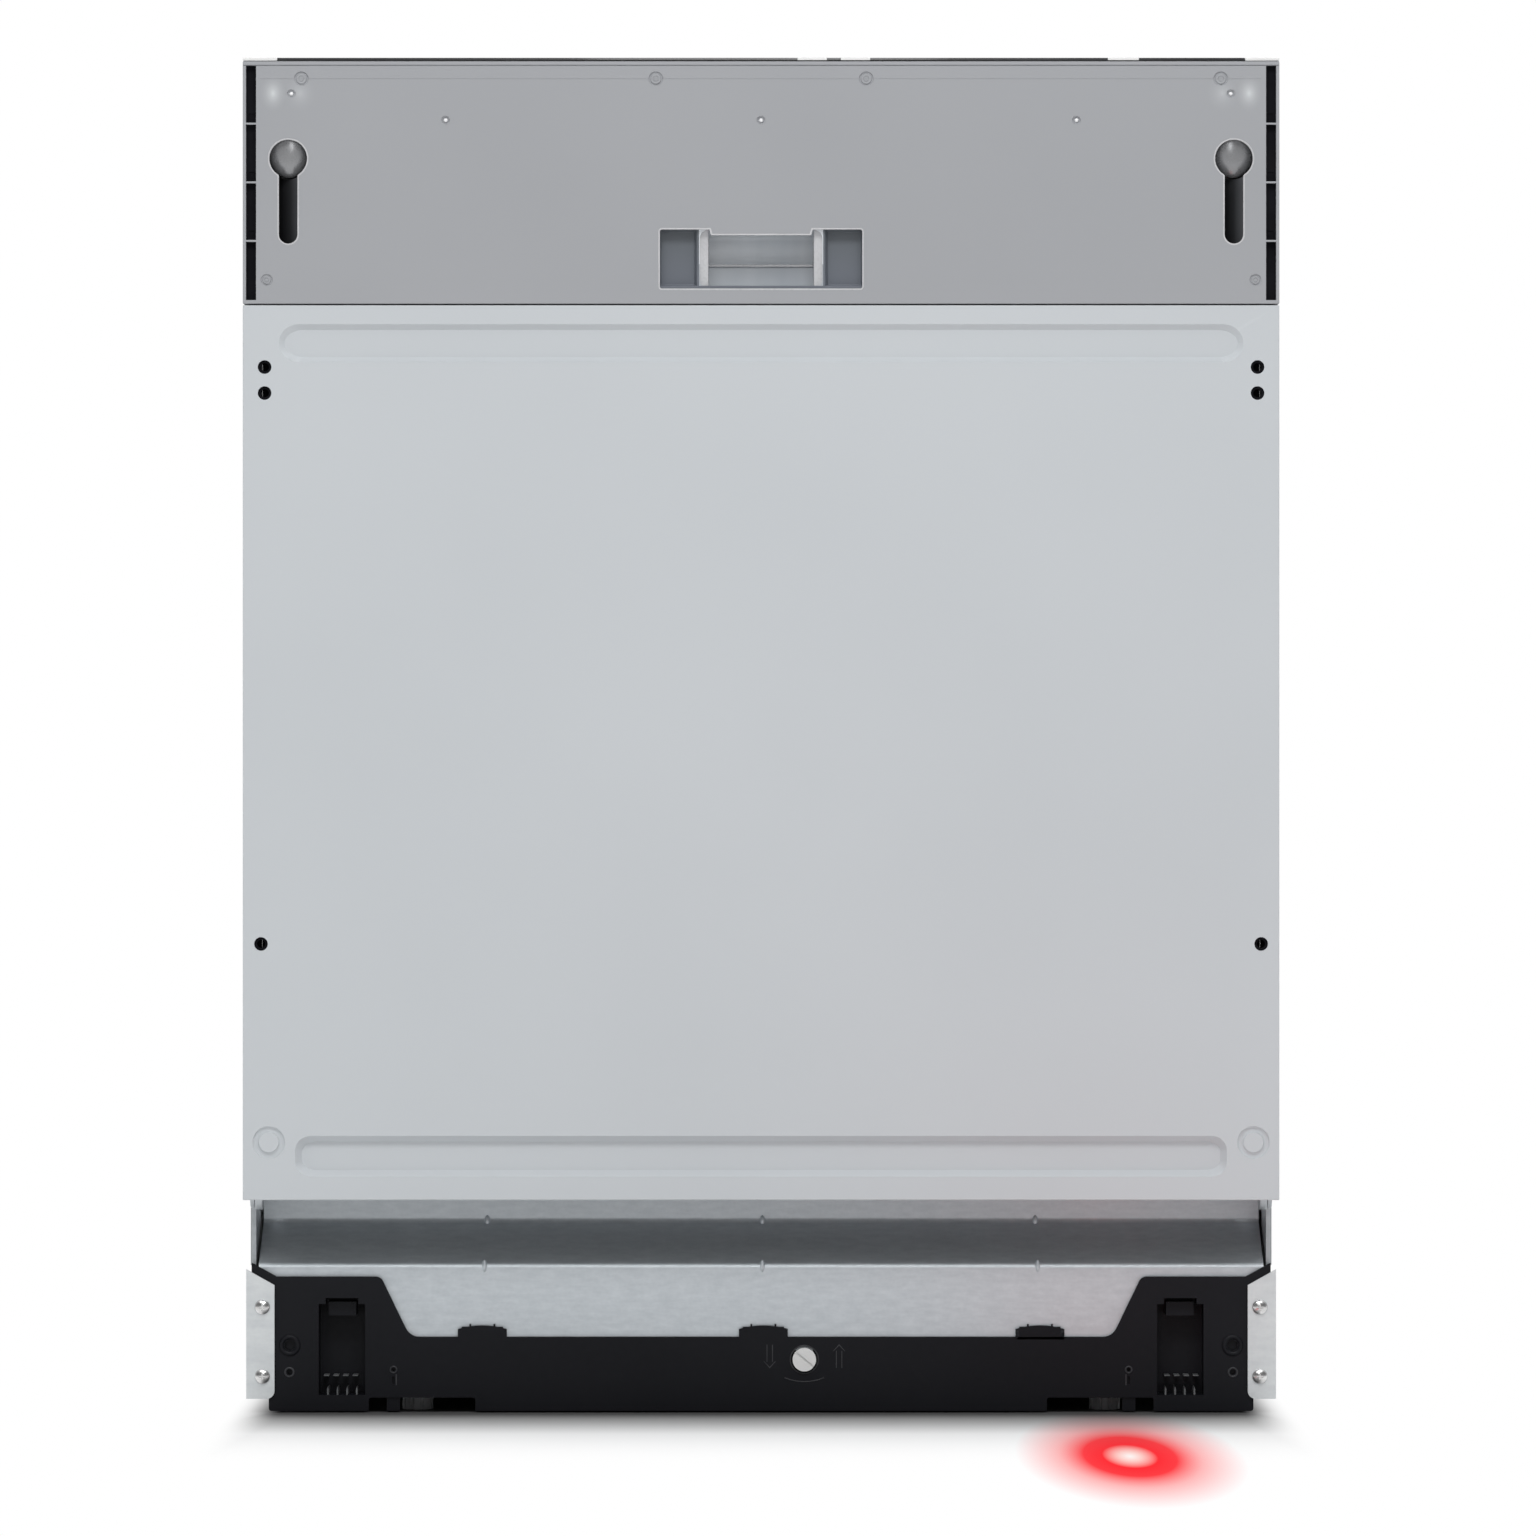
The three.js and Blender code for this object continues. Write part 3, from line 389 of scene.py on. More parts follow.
def gather(name, *objects):
    """Joins the meshes of several objects into one piece."""
    bpy.ops.object.select_all(action="DESELECT")
    for obj in objects:
        obj.select_set(True)
    bpy.context.view_layer.objects.active = objects[0]
    bpy.ops.object.join()
    objects[0].name = name
    return objects[0]


def choose(obj, kind, test):
    """Opens obj in edit mode with the faces, edges or vertices picked whose middle passes the test."""
    alone(obj)
    bpy.ops.object.mode_set(mode="EDIT")
    bpy.ops.mesh.select_mode(type=kind)
    bpy.ops.mesh.select_all(action="DESELECT")
    mesh = bmesh.from_edit_mesh(obj.data)
    parts = {"FACE": mesh.faces, "EDGE": mesh.edges, "VERT": mesh.verts}[kind]
    for part in parts:
        verts = [part] if kind == "VERT" else part.verts
        middle = sum((v.co for v in verts), Vector()) / len(verts) / MM
        way = None
        if kind == "FACE":
            way = part.normal
        if kind == "EDGE":
            way = (part.verts[1].co - part.verts[0].co).normalized()
        if test(middle, way):
            part.select_set(True)
    bmesh.update_edit_mesh(obj.data)


def done():
    bpy.ops.object.mode_set(mode="OBJECT")
    return bpy.context.object


def round_edges(obj, test, r, steps=6):
    choose(obj, "EDGE", test)
    bpy.ops.mesh.bevel(offset=r * MM, segments=steps, affect="EDGES", clamp_overlap=True)
    return done()


def along(axis):
    """A test for the edges that run along an axis."""
    return lambda middle, way: abs(way["xyz".index(axis)]) > 0.99


def near(axis, spots, reach=1.0):
    """A test for the edges along an axis that pass close to any of the spots in the other two directions."""
    others = [i for i in range(3) if i != "xyz".index(axis)]

    def test(middle, way):
        if abs(way["xyz".index(axis)]) < 0.99:
            return False
        here = [middle[i] for i in others]
        return any(abs(here[0] - u) < reach and abs(here[1] - v) < reach for u, v in spots)

    return test


def soften(obj, r=0.5, steps=2, angle=32):
    alone(obj)
    modifier = obj.modifiers.new("soften", "BEVEL")
    modifier.width = r * MM
    modifier.segments = steps
    modifier.limit_method = "ANGLE"
    modifier.angle_limit = math.radians(angle)
    modifier.harden_normals = False
    bpy.ops.object.modifier_apply(modifier=modifier.name)
    return obj


def smooth(obj, angle=35):
    """Smooth shading that leaves the large flat faces flat."""
    alone(obj)
    bpy.ops.object.shade_smooth_by_angle(angle=math.radians(angle))
    modifier = obj.modifiers.new("flat_faces", "WEIGHTED_NORMAL")
    modifier.keep_sharp = True
    modifier.weight = 90
    bpy.ops.object.modifier_apply(modifier=modifier.name)
    return obj


def outline(name, points, axis, a, b):
    """A flat outline given a thickness from a to b along an axis. A ring of points is moved, then extruded."""
    bpy.ops.object.select_all(action="DESELECT")
    bpy.ops.mesh.primitive_circle_add(vertices=len(points), fill_type="NGON")
    obj = bpy.context.object
    obj.name = name
    lay = {"x": lambda u, v: (a, u, v), "y": lambda u, v: (u, a, v), "z": lambda u, v: (u, v, a)}[axis]
    for vertex, (u, v) in zip(obj.data.vertices, points):
        vertex.co = Vector(lay(u, v)) * MM
    move = [0, 0, 0]
    move["xyz".index(axis)] = (b - a) * MM
    bpy.ops.object.mode_set(mode="EDIT")
    bpy.ops.mesh.select_all(action="SELECT")
    bpy.ops.mesh.extrude_region_move(TRANSFORM_OT_translate={"value": move})
    bpy.ops.mesh.select_all(action="SELECT")
    bpy.ops.mesh.normals_make_consistent(inside=False)
    return done()


def pan(name, x0, x1, y0, y1, z0, z1, wall, face):
    """A tray that is open to the back: a block whose back is inset and pushed in to leave its face."""
    obj = block(name, x0, x1, y0, y1, z0, z1)
    choose(obj, "FACE", lambda middle, normal: normal.y > 0.9)
    bpy.ops.mesh.inset(thickness=wall * MM)
    bpy.ops.mesh.extrude_region_move(TRANSFORM_OT_translate={"value": (0, (y0 + face - y1) * MM, 0)})
    return done()


def sunk_tool(name, x0, x1, z0, z1, face, depth, slope, r):
    """A tool for an emboss: a rounded bar that narrows as it goes in, starting proud of the face."""
    out = 1.0
    obj = block(name, x0, x1, face - out, face + depth, z0, z1)
    round_edges(obj, along("y"), r, 10)
    choose(obj, "FACE", lambda middle, normal: normal.y > 0.9)
    wide, tall = x1 - x0, z1 - z0
    shrink = slope * (depth + out) / depth
    centre = ((x0 + x1) / 2 * MM, 0, (z0 + z1) / 2 * MM)
    size = ((wide - 2 * shrink) / wide, 1, (tall - 2 * shrink) / tall)
    bpy.ops.transform.resize(value=size, center_override=centre)
    return done()


def finished(obj, material, body, slot, *nodes):
    """Gives a finished piece its material and its body, and hides the CAD nodes that it stands for. The slot is not
    used.
    """
    obj.data.materials.clear()
    obj.data.materials.append(material)
    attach(obj, body)
    if nodes:
        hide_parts(*nodes)
    return obj


(_, sheet_front, sheet_low), (sheet_side, sheet_back, sheet_top) = corners("door_outer_panel")
upper_depth, lower_depth = 2.9, 5.0
sheet = pan("door_sheet", -sheet_side, sheet_side, sheet_front, sheet_back, sheet_low, sheet_top, 1.2, 6)
soften(sheet, 0.8, 3)
upper_half, upper_z0, upper_z1 = sheet_side - 19.7, sheet_top - 34, sheet_top - 9.9
lower_half, lower_z0, lower_z1 = sheet_side - 29.5, sheet_low + 12.9, sheet_low + 37.8
carve(
    sheet,
    sunk_tool("press", -upper_half, upper_half, upper_z0, upper_z1, sheet_front, upper_depth, 3.1, 11.9),
    sunk_tool("press", -lower_half, lower_half, lower_z0, lower_z1, sheet_front, lower_depth, 3.6, 9),
)
hole_places = [(sheet_side - 12.6, sheet_top - 35.7), (sheet_side - 12.6, sheet_top - 50.7)]
hole_places.append((sheet_side - 10.5, sheet_low + 147.8))
for s in (-1, 1):
    for x, z in hole_places:
        carve(sheet, rod("punch", "y", s * x, sheet_front, z, 3.95, 20))
    ring_x, ring_z = s * (sheet_side - 15), sheet_low + 33.3
    carve(sheet, ring("ring_press", ring_x, sheet_front - 0.4, ring_z, 7.5, 2.0))
soften(sheet, 0.7, 3, 14)
smooth(sheet, 60)
finished(sheet, painted_sheet, "door", "painted_sheet", "door_outer_panel")


# ---------------------------------------------------------------- console fascia
# A grey moulded plate over the door's top. It has a keyhole near each side for the furniture door's pegs, a tall
# vent slot with three cross bars at each end, and the round marks of the mould's ejector pins.
def console_finish():
    """Matt grey plastic with a fine even grain, and near each upper corner two pale patches of painted sheen."""
    finish = Finish("console_plastic", specular_ior_level=0.4)
    cloud = finish.noise(8.0, 2.0)
    grey = finish.ramp(cloud, [(0.3, (0.352, 0.362, 0.382)), (0.7, (0.364, 0.374, 0.394))])
    across, up = finish.along("X").math("ABSOLUTE", 0), finish.along("Z")
    # Painted sheen: two soft pale patches near each upper corner stand for highlights.
    painted_sheen = 0.0
    for x, wide, strong in ((0.2815, 0.0075, 0.85), (0.266, 0.009, 0.36)):
        u, v = (across - x) / wide, (up - (fascia_top - 18.5) * MM) / 0.0105
        fades = [(1.0, 0.0), (0.55, 0.22), (0.8, 0.07), (0.25, 0.55), (0.0, 1.0)]
        stops = [(spot, (level * strong,) * 3) for spot, level in sorted(fades)]
        painted_sheen = painted_sheen + finish.ramp((u * u + v * v).math("SQRT", 0), stops)
    finish.set(base_color=finish.mix(painted_sheen, grey, (0.66, 0.69, 0.7)))
    finish.set(roughness=0.5 + finish.noise(900.0, 2.0) * 0.12)
    finish.relief(finish.noise(2600.0, 2.0), 0.00005, 0.4)
    return finish.material


def mottled(name, dark, light, scale, rough, spread, grain, bumps=None, **surface):
    """A plain material: two close shades over a soft noise, a roughness that varies finely, and bumps if asked."""
    finish = Finish(name, **surface)
    finish.set(base_color=finish.ramp(finish.noise(scale), [(0.3, dark), (0.7, light)]))
    finish.set(roughness=rough + finish.noise(grain) * spread)
    if bumps:
        finish.relief(finish.noise(bumps), 0.00004, 0.4)
    return finish.material


(_, fascia_front, fascia_low), (fascia_side, fascia_back, fascia_top) = corners("console_fascia")
console_plastic = console_finish()
# The same plastic, glossier, paler as painted highlight on rims and ribs, near white as painted glint on the pips.
glossy = {"scale": 60.0, "rough": 0.22, "spread": 0.12, "grain": 500.0, "specular_ior_level": 0.5}
highlight_plastic = mottled("highlight_plastic", (0.5, 0.505, 0.52), (0.58, 0.585, 0.6), **glossy)
glint_plastic = mottled("glint_plastic", (0.86, 0.865, 0.88), (0.95, 0.955, 0.97), **glossy)
fascia_wall = 2.5
fascia = pan(
    "console_plate", -fascia_side, fascia_side, fascia_front, fascia_back, fascia_low, fascia_top, fascia_wall,
    fascia_wall + 0.5,
)
soften(fascia, 0.4, 2)
lip_z, step_z = fascia_top - 2.4, fascia_top - 10.2
for half, depth, z, rise in ((fascia_side + 1, 0.5, lip_z, 0.3), (fascia_side - 10, 0.12, step_z, 0.2)):
    carve(fascia, block("groove", -half, half, fascia_front - 1, fascia_front + depth, z - rise, z + rise))

# Grip opening: a wide window whose upper edge comes down in the middle, with slanted shoulders.
grip_half, grip_low, grip_high = 58.4, fascia_low + 8.8, fascia_low + 42.9


def window_tool(grow, back):
    half = grip_half + grow
    window = block("window", -half, half, fascia_front - 2, back, grip_low - grow, grip_high + grow)
    round_edges(window, along("y"), 1.2 + grow, 4)
    lip_half = 31.5 - grow
    lip = block("lip", -lip_half, lip_half, fascia_front - 3, back + 1, grip_high - 3.3 + grow, grip_high + 6)
    choose(lip, "VERT", lambda middle, way: middle.z < grip_high)
    bpy.ops.transform.resize(value=((lip_half - 2.6) / lip_half, 1, 1), center_override=(0, 0, 0))
    return carve(window, done())


def rim_of(name, outer, inner):
    """A thin rim let into the plate round an opening, paler as a painted highlight on its edge."""
    rim = carve(outer, inner)
    rim.name = name
    carve(rim, block("trim", -400, 400, fascia_front - 20, fascia_front + 0.02, 0, 900))
    finished(smooth(rim, 30), highlight_plastic, "door", "console_plastic")


carve(fascia, window_tool(0.9, fascia_front + 6))
rim_of("window_rim", window_tool(0.85, fascia_front + 3), window_tool(0, fascia_front + 9))
keyhole_x, keyhole_z, keyhole_foot, keyhole_r = fascia_side - 26.2, fascia_top - 56.1, fascia_top - 105.2, 10.9
slot_inner, slot_outer = fascia_side - 7.7, fascia_side - 1.8
slot_low, slot_high = fascia_low + 2.1, fascia_top - 2.4
bars = [slot_low + f * (slot_high - slot_low) for f in (0.2525, 0.502, 0.752)]


def key_tool(s, grow, back):
    """The keyhole's outline: a round hole over a slot, with the corners between them eased."""
    x, depth = s * keyhole_x, 10 + back
    y = fascia_front + (back - 10) / 2
    slot_half = 5.4 + grow
    key = rod("head", "y", x, y, keyhole_z, keyhole_r + grow, depth, 64)
    stem = block("stem", x - slot_half, x + slot_half, y - depth / 2, y + depth / 2, keyhole_foot + 5.4, keyhole_z)
    weld(key, stem, rod("foot", "y", x, y, keyhole_foot + 5.4, slot_half, depth, 48))
    corner_z = keyhole_z - math.sqrt((keyhole_r + grow) ** 2 - slot_half ** 2)
    round_edges(key, near("y", [(x - slot_half, corner_z), (x + slot_half, corner_z)], 0.6), 2.5, 5)
    return key


for s in (-1, 1):
    carve(fascia, key_tool(s, 0.9, 10))
    rim_of(f"keyhole_rim_{'left' if s < 0 else 'right'}", key_tool(s, 0.85, 3), key_tool(s, 0, 9))
    edges = span(s, slot_inner, slot_outer)
    levels = [slot_low] + [b for bar in bars for b in (bar - 0.5, bar + 0.5)] + [slot_high]
    for z0, z1 in zip(levels[::2], levels[1::2]):
        carve(fascia, block("vent", *edges, fascia_front - 1, fascia_front + 12, z0, z1))
    wide, small = ((3.5, 0.75), (1.5, 0.25)), ((2.8, 0.7), (1.2, 0.25))
    pin_z = fascia_top - 10.1
    for x, z, rings in ((265.2, pin_z, wide), (60.7, pin_z, wide), (285.2, fascia_low + 13.7, small)):
        for r, section in rings:
            carve(fascia, ring("pin_mark", s * x, fascia_front + 0.1, z, r, section))
# Each dimple holds a small pip; its near-white plastic is a painted glint at the dimple's middle.
pips = []
for x, z in ((-271, 18.7), (271, 18.7), (-182, 34), (0, 34), (182, 34)):
    carve(fascia, ball("dimple", x, fascia_front - 0.4, fascia_top - z, 2.6, 2.2, 2.6, 32))
    pips.append(ball("pip", x, fascia_front + 1.2, fascia_top - z, 1.2, 1.1, 1.2, 24))
smooth(fascia)
finished(fascia, console_plastic, "door", "console_plastic", "console_fascia")
finished(smooth(gather("mould_pips", *pips)), glint_plastic, "door", "console_plastic")


# Behind each keyhole is a cup: a round bowl with a polished rounded stop, and a channel whose floor runs back to a
# slant. A near-black strip lies behind each vent slot, painted shade in the slot.
cup_front = fascia_front + fascia_wall + 0.6
cup_depth = 17


def channel_finish():
    """Dark plastic of the cups, darker the deeper it lies: painted shade in the recess."""
    finish = Finish("channel_shade_plastic", roughness=0.4, specular_ior_level=0.4)
    shade_fade = (finish.along("Y") - cup_front * MM) / (14 * MM)
    stops = [(0.1, (0.12, 0.125, 0.135)), (0.55, (0.03, 0.031, 0.034)), (1.0, (0.008, 0.008, 0.009))]
    finish.set(base_color=finish.ramp(shade_fade, stops))
    return finish.material


channel_shade_plastic = channel_finish()
boss_plastic = mottled(
    "boss_plastic", (0.27, 0.275, 0.285), (0.33, 0.335, 0.345), scale=30.0, rough=0.24, spread=0.06, grain=300.0,
    metallic=0.5,
)
# Near-black plastic, which also stands as painted shade inside the holes and slots.
shade_black = mottled(
    "shade_black", (0.006, 0.006, 0.008), (0.011, 0.011, 0.014), scale=60.0, rough=0.7, spread=0.15, grain=500.0,
    specular_ior_level=0.08,
)
for side, s in (("left", -1), ("right", 1)):
    x = s * keyhole_x
    depths = (cup_front, cup_front + cup_depth)
    cup = block(f"keyhole_cup_{side}", x - 13.5, x + 13.5, *depths, keyhole_foot - 4, keyhole_z + 14)
    wedge = [(x + u, cup_front + v) for u, v in ((-6.2, -1), (6.2, -1), (6.2, 2.5), (-6.2, 14))]
    carve(cup, outline("channel", wedge, "z", keyhole_foot - 1, keyhole_z))
    carve(cup, rod("bowl", "y", x, cup_front + 6, keyhole_z, 11.4, 14, 64))
    finished(smooth(soften(cup, 0.4)), channel_shade_plastic, "door", "recess_plastic")
    boss = ball(f"keyhole_boss_{side}", x, cup_front + 8.2, keyhole_z + 6, 13, 8, 16.4, 64)
    finished(smooth(boss, 60), boss_plastic, "door", "recess_plastic")
    edges = span(s, slot_inner - 1, slot_outer + 0.5)
    back = block(f"vent_back_{side}", *edges, cup_front + 1, cup_front + 2, slot_low, slot_high)
    for bar in bars:
        carve(back, block("gap", edges[0] + 2, edges[1] - 2, cup_front, cup_front + 1.5, bar + 2, bar + 6))
    finished(soften(back, 0.2), shade_black, "door", "recess_plastic")

# ---------------------------------------------------------------- grip cup
# The hand cup behind the window: a sunk dark panel at each end, and between them a deep pale bay with a ledge across
# its back wall.
(_, grip_y0, grip_z0), (grip_x1, grip_y1, grip_z1) = corners("handle_recess")
ledge_z, ledge_y = 665.3, grip_y1 - 12


def panel_finish():
    """Blue-grey plastic of the panels at the ends of the cup, darker towards the top: painted shade under the
    window's upper edge.
    """
    finish = Finish("grip_panel", roughness=0.45, specular_ior_level=0.3)
    shade_fade = (finish.along("Z") - grip_z0 * MM) / ((grip_z1 - grip_z0) * MM)
    finish.set(base_color=finish.ramp(shade_fade, [(0.1, (0.155, 0.17, 0.2)), (0.9, (0.125, 0.14, 0.155))]))
    return finish.material


def bay_finish():
    """Satin plastic of the middle bay, paler above the ledge."""
    finish = Finish("grip_bay", roughness=0.3, specular_ior_level=0.6)
    streak = finish.noise(9.0, 2.0, finish.stretched(6.0, 1.0, 0.6))
    lower = finish.ramp(streak, [(0.3, (0.38, 0.41, 0.45)), (0.7, (0.46, 0.49, 0.52))])
    upper = finish.ramp(streak, [(0.3, (0.66, 0.7, 0.74)), (0.7, (0.8, 0.83, 0.86))])
    finish.set(base_color=finish.mix(finish.along("Z").above(ledge_z * MM), lower, upper))
    return finish.material


grip_panel = panel_finish()
grip_bay = bay_finish()
bay_half, wall = 35.4, 2.5
tray = block("grip_cup", -grip_x1, grip_x1, grip_y0, grip_y1, grip_z0, grip_z1)
bay = block("bay", -bay_half, bay_half, grip_y0 - 1, grip_y1 - wall, grip_z0 + wall, grip_z1 - wall)
round_edges(bay, lambda middle, way: middle.y > grip_y1 - wall - 0.1 or abs(way.y) > 0.9, 5, 6)
carve(tray, bay)
for s in (-1, 1):
    edges = span(s, bay_half + 1, grip_x1 - 1)
    carve(tray, block("room", *edges, grip_y0 - 1, grip_y0 + 7, grip_z0 + 1.5, grip_z1 - 1.5))
step = block("step", -bay_half - 1, bay_half + 1, ledge_y, grip_y1 - 1, grip_z0 + 1, ledge_z)
weld(tray, soften(step, 1.2, 3))
finished(smooth(soften(tray, 0.3)), grip_bay, "door", "recess_plastic", "handle_recess")
# The ledge's nose and a rib at each side of the bay are in the paler plastic: painted highlights on their edges.
trims = [block("nose", -bay_half, bay_half, ledge_y - 1.2, ledge_y + 2, ledge_z - 0.6, ledge_z + 1.0)]
for side, s in (("left", -1), ("right", 1)):
    edges = span(s, bay_half - 5, bay_half + 0.5)
    trims.append(block("rib", *edges, grip_y0 + 2, grip_y1 - 4, grip_z0 + 1, grip_z1 - 1))
    edges = span(s, bay_half + 0.4, grip_x1 - 0.6)
    plate = block(f"grip_panel_{side}", *edges, grip_y0 - 0.4, grip_y0 + 6, grip_z0 + 1, grip_z1 - 1)
    hollow = block("hollow", edges[0] + 0.8, edges[1] - 0.8, grip_y0 - 2, grip_y0 + 4.5, grip_z0 + 3.4, grip_z1 - 2)
    choose(hollow, "FACE", lambda middle, normal: normal.y > 0.9)
    centre = (sum(edges) / 2 * MM, 0, (grip_z0 + grip_z1) / 2 * MM)
    bpy.ops.transform.resize(value=(0.84, 1, 0.9), center_override=centre)
    carve(plate, done())
    finished(smooth(soften(plate, 0.5, 3)), grip_panel, "door", "recess_plastic")
finished(smooth(soften(gather("grip_trims", *trims), 0.5, 3)), highlight_plastic, "door", "recess_plastic")
# A dark strip along the window's foot is painted shadow on the floor of the recess.
shadow_strip = block("grip_shadow_strip", -grip_half, grip_half, grip_y0 - 0.3, grip_y0 + 8, grip_low - 0.5, grip_low + 1.8)
finished(smooth(soften(shadow_strip, 0.4)), grip_panel, "door", "recess_plastic")

# ---------------------------------------------------------------- control strip
# Gloss black strip on the door's top edge, hidden under the worktop when shut, with pale end caps, touch windows
# and three push buttons.
(_, strip_front, strip_low), (strip_side, strip_back, strip_top) = corners("control_panel")


def gloss_black_finish():
    """Gloss black acrylic with faint wiping marks."""
    finish = Finish("control_black", specular_ior_level=0.5, coat_weight=0.6, coat_roughness=0.05)
    finish.set(base_color=finish.ramp(finish.noise(12.0), [(0.3, (0.008, 0.008, 0.01)), (0.7, (0.02, 0.021, 0.023))]))
    finish.set(roughness=0.16 + finish.noise(30.0, 4.0) * 0.12)
    return finish.material


control_black = gloss_black_finish()
white_plastic = mottled(
    "white_plastic", (0.76, 0.765, 0.76), (0.82, 0.825, 0.82), scale=25.0, rough=0.34, spread=0.1, grain=400.0,
    specular_ior_level=0.45,
)
cap_length = 20
strip_half = strip_side - cap_length
strip = block("control_strip", -strip_half, strip_half, strip_front, strip_back, strip_low, strip_top)
for name in ("power_button", "program_button", "start_button"):
    (x0, y0, _), (x1, y1, button_top) = corners(name)
    carve(strip, block("well", x0 - 0.3, x1 + 0.3, y0 - 0.3, y1 + 0.3, strip_low - 1, strip_top + 1))
    cap = block(f"{name}_cap", x0, x1, y0, y1, button_top - 1.5, button_top)
    round_edges(cap, along("z"), 2, 4)
    smooth(soften(cap, 0.25))
    finished(cap, control_black, name, "control_black", name)
smooth(soften(strip, 0.3))
finished(strip, control_black, "door", "control_black", "control_panel")
for side, s in (("left", -1), ("right", 1)):
    edges = span(s, strip_half + 0.15, strip_side)
    cap = block(f"strip_end_{side}", *edges, strip_front, strip_back, strip_low, strip_top)
    smooth(soften(cap, 0.4))
    finished(cap, white_plastic, "door", "white_plastic")
for i, (x0, x1) in enumerate(((21, 38), (46, 63), (200, 218))):
    depths = (strip_front - 0.15, strip_front + 5)
    tile = block(f"touch_window_{i + 1}", x0, x1, *depths, strip_low + 0.3, strip_top + 0.1)
    finished(smooth(soften(tile, 0.2)), white_plastic, "door", "white_plastic")

# A black boss with a blind bore stands behind each screw hole of the sheet; its near-black colour is also painted
# shade inside the hole.
for side, s in (("left", -1), ("right", 1)):
    bosses = []
    for x, z in hole_places:
        boss = rod("boss", "y", s * x, sheet_front + 9.8, z, 5.8, 7, 32)
        weld(boss, rod("nose", "y", s * x, sheet_front + 6, z, 3.9, 8, 32))
        carve(boss, rod("bore", "y", s * x, sheet_front + 5, z, 2.4, 8, 32))
        bosses.append(soften(boss, 0.3))
    finished(smooth(gather(f"sheet_bosses_{side}", *bosses)), shade_black, "door", "black_plastic")


# ---------------------------------------------------------------- base front
# A black moulded cover over the foot of the machine: it steps down between two raised shoulders, three clips hold
# it to the steel behind, and a deep pocket at each end takes the plinth's fixing.
def moulding_finish():
    """Black plastic with a satin grain, a little paler where it has been handled."""
    finish = Finish("black_plastic", specular_ior_level=0.22)
    wear = finish.noise(6.0, 4.0)
    finish.set(base_color=finish.ramp(wear, [(0.35, (0.0035, 0.004, 0.0065)), (0.7, (0.0055, 0.006, 0.009))]))
    finish.set(roughness=0.44 + finish.noise(250.0, 2.0) * 0.16)
    finish.relief(finish.noise(1600.0, 2.0), 0.00005, 0.4)
    return finish.material


def mirrored(points):
    """Closes the right half of an outline with its mirror image."""
    return points + [(-x, z) for x, z in reversed(points)]


black_plastic = moulding_finish()
(_, cover_front, cover_low), (cover_side, cover_back, cover_high) = corners("base_front")
plate_back = cover_front + 3
foot_x, shoulder_x, cover_step, arch_top = 204, 221, 44, 8.8
arch_in, arch_out, corner_x, corner_z = 166, 228, 286, 10.5
half = [
    (arch_in, cover_low), (arch_in, arch_top), (arch_out, arch_top), (arch_out, cover_low), (corner_x, cover_low),
    (corner_x, corner_z), (cover_side, corner_z), (cover_side, 87), (281.5, cover_high), (shoulder_x, cover_high),
    (foot_x, cover_step),
]
cover = outline("base_cover", mirrored(half), "y", cover_front, plate_back)
small_bends = [(corner_x, cover_low), (arch_out, arch_top), (arch_in, arch_top)]
for bends, r, steps in (([(foot_x, cover_step)], 5, 6), ([(shoulder_x, cover_high)], 2.8, 5), (small_bends, 1.5, 3)):
    round_edges(cover, near("y", mirrored(bends)), r, steps)
clip_top = 49.8
for x in (-162, 1.3, 162):
    clip = block("clip", x - 12, x + 12, cover_front, plate_back, cover_step - 2, clip_top)
    flare = [(x + u, cover_step + z) for u, z in ((-13.2, -1), (13.2, -1), (11.9, 1.4), (-11.9, 1.4))]
    weld(clip, outline("flare", flare, "y", cover_front, plate_back))
    weld(clip, rod("crown", "y", x, cover_front + 1.5, clip_top - 47.2, 48, 3, 160))
    carve(clip, block("under", x - 60, x + 60, cover_front - 1, plate_back + 1, -60, cover_step - 1.5))
    for d in (-1, 1):
        carve(clip, block("side", *sorted((x + d * 14.2, x + d * 60)), cover_front - 1, plate_back + 1, -60, 90))
        weld(clip, block("spike", x + d * 7 - 0.5, x + d * 7 + 0.5, cover_front, plate_back, 49, 51.4))
    weld(cover, clip)
pocket_in, pocket_out, pocket_low, pocket_high = 230, 257, 10.2, 63.1
socket_x, socket_z, drill_x, drill_z, latch_x, latch_z = 273.8, 39.1, 274, 23.5, 213.5, 25
signs = []
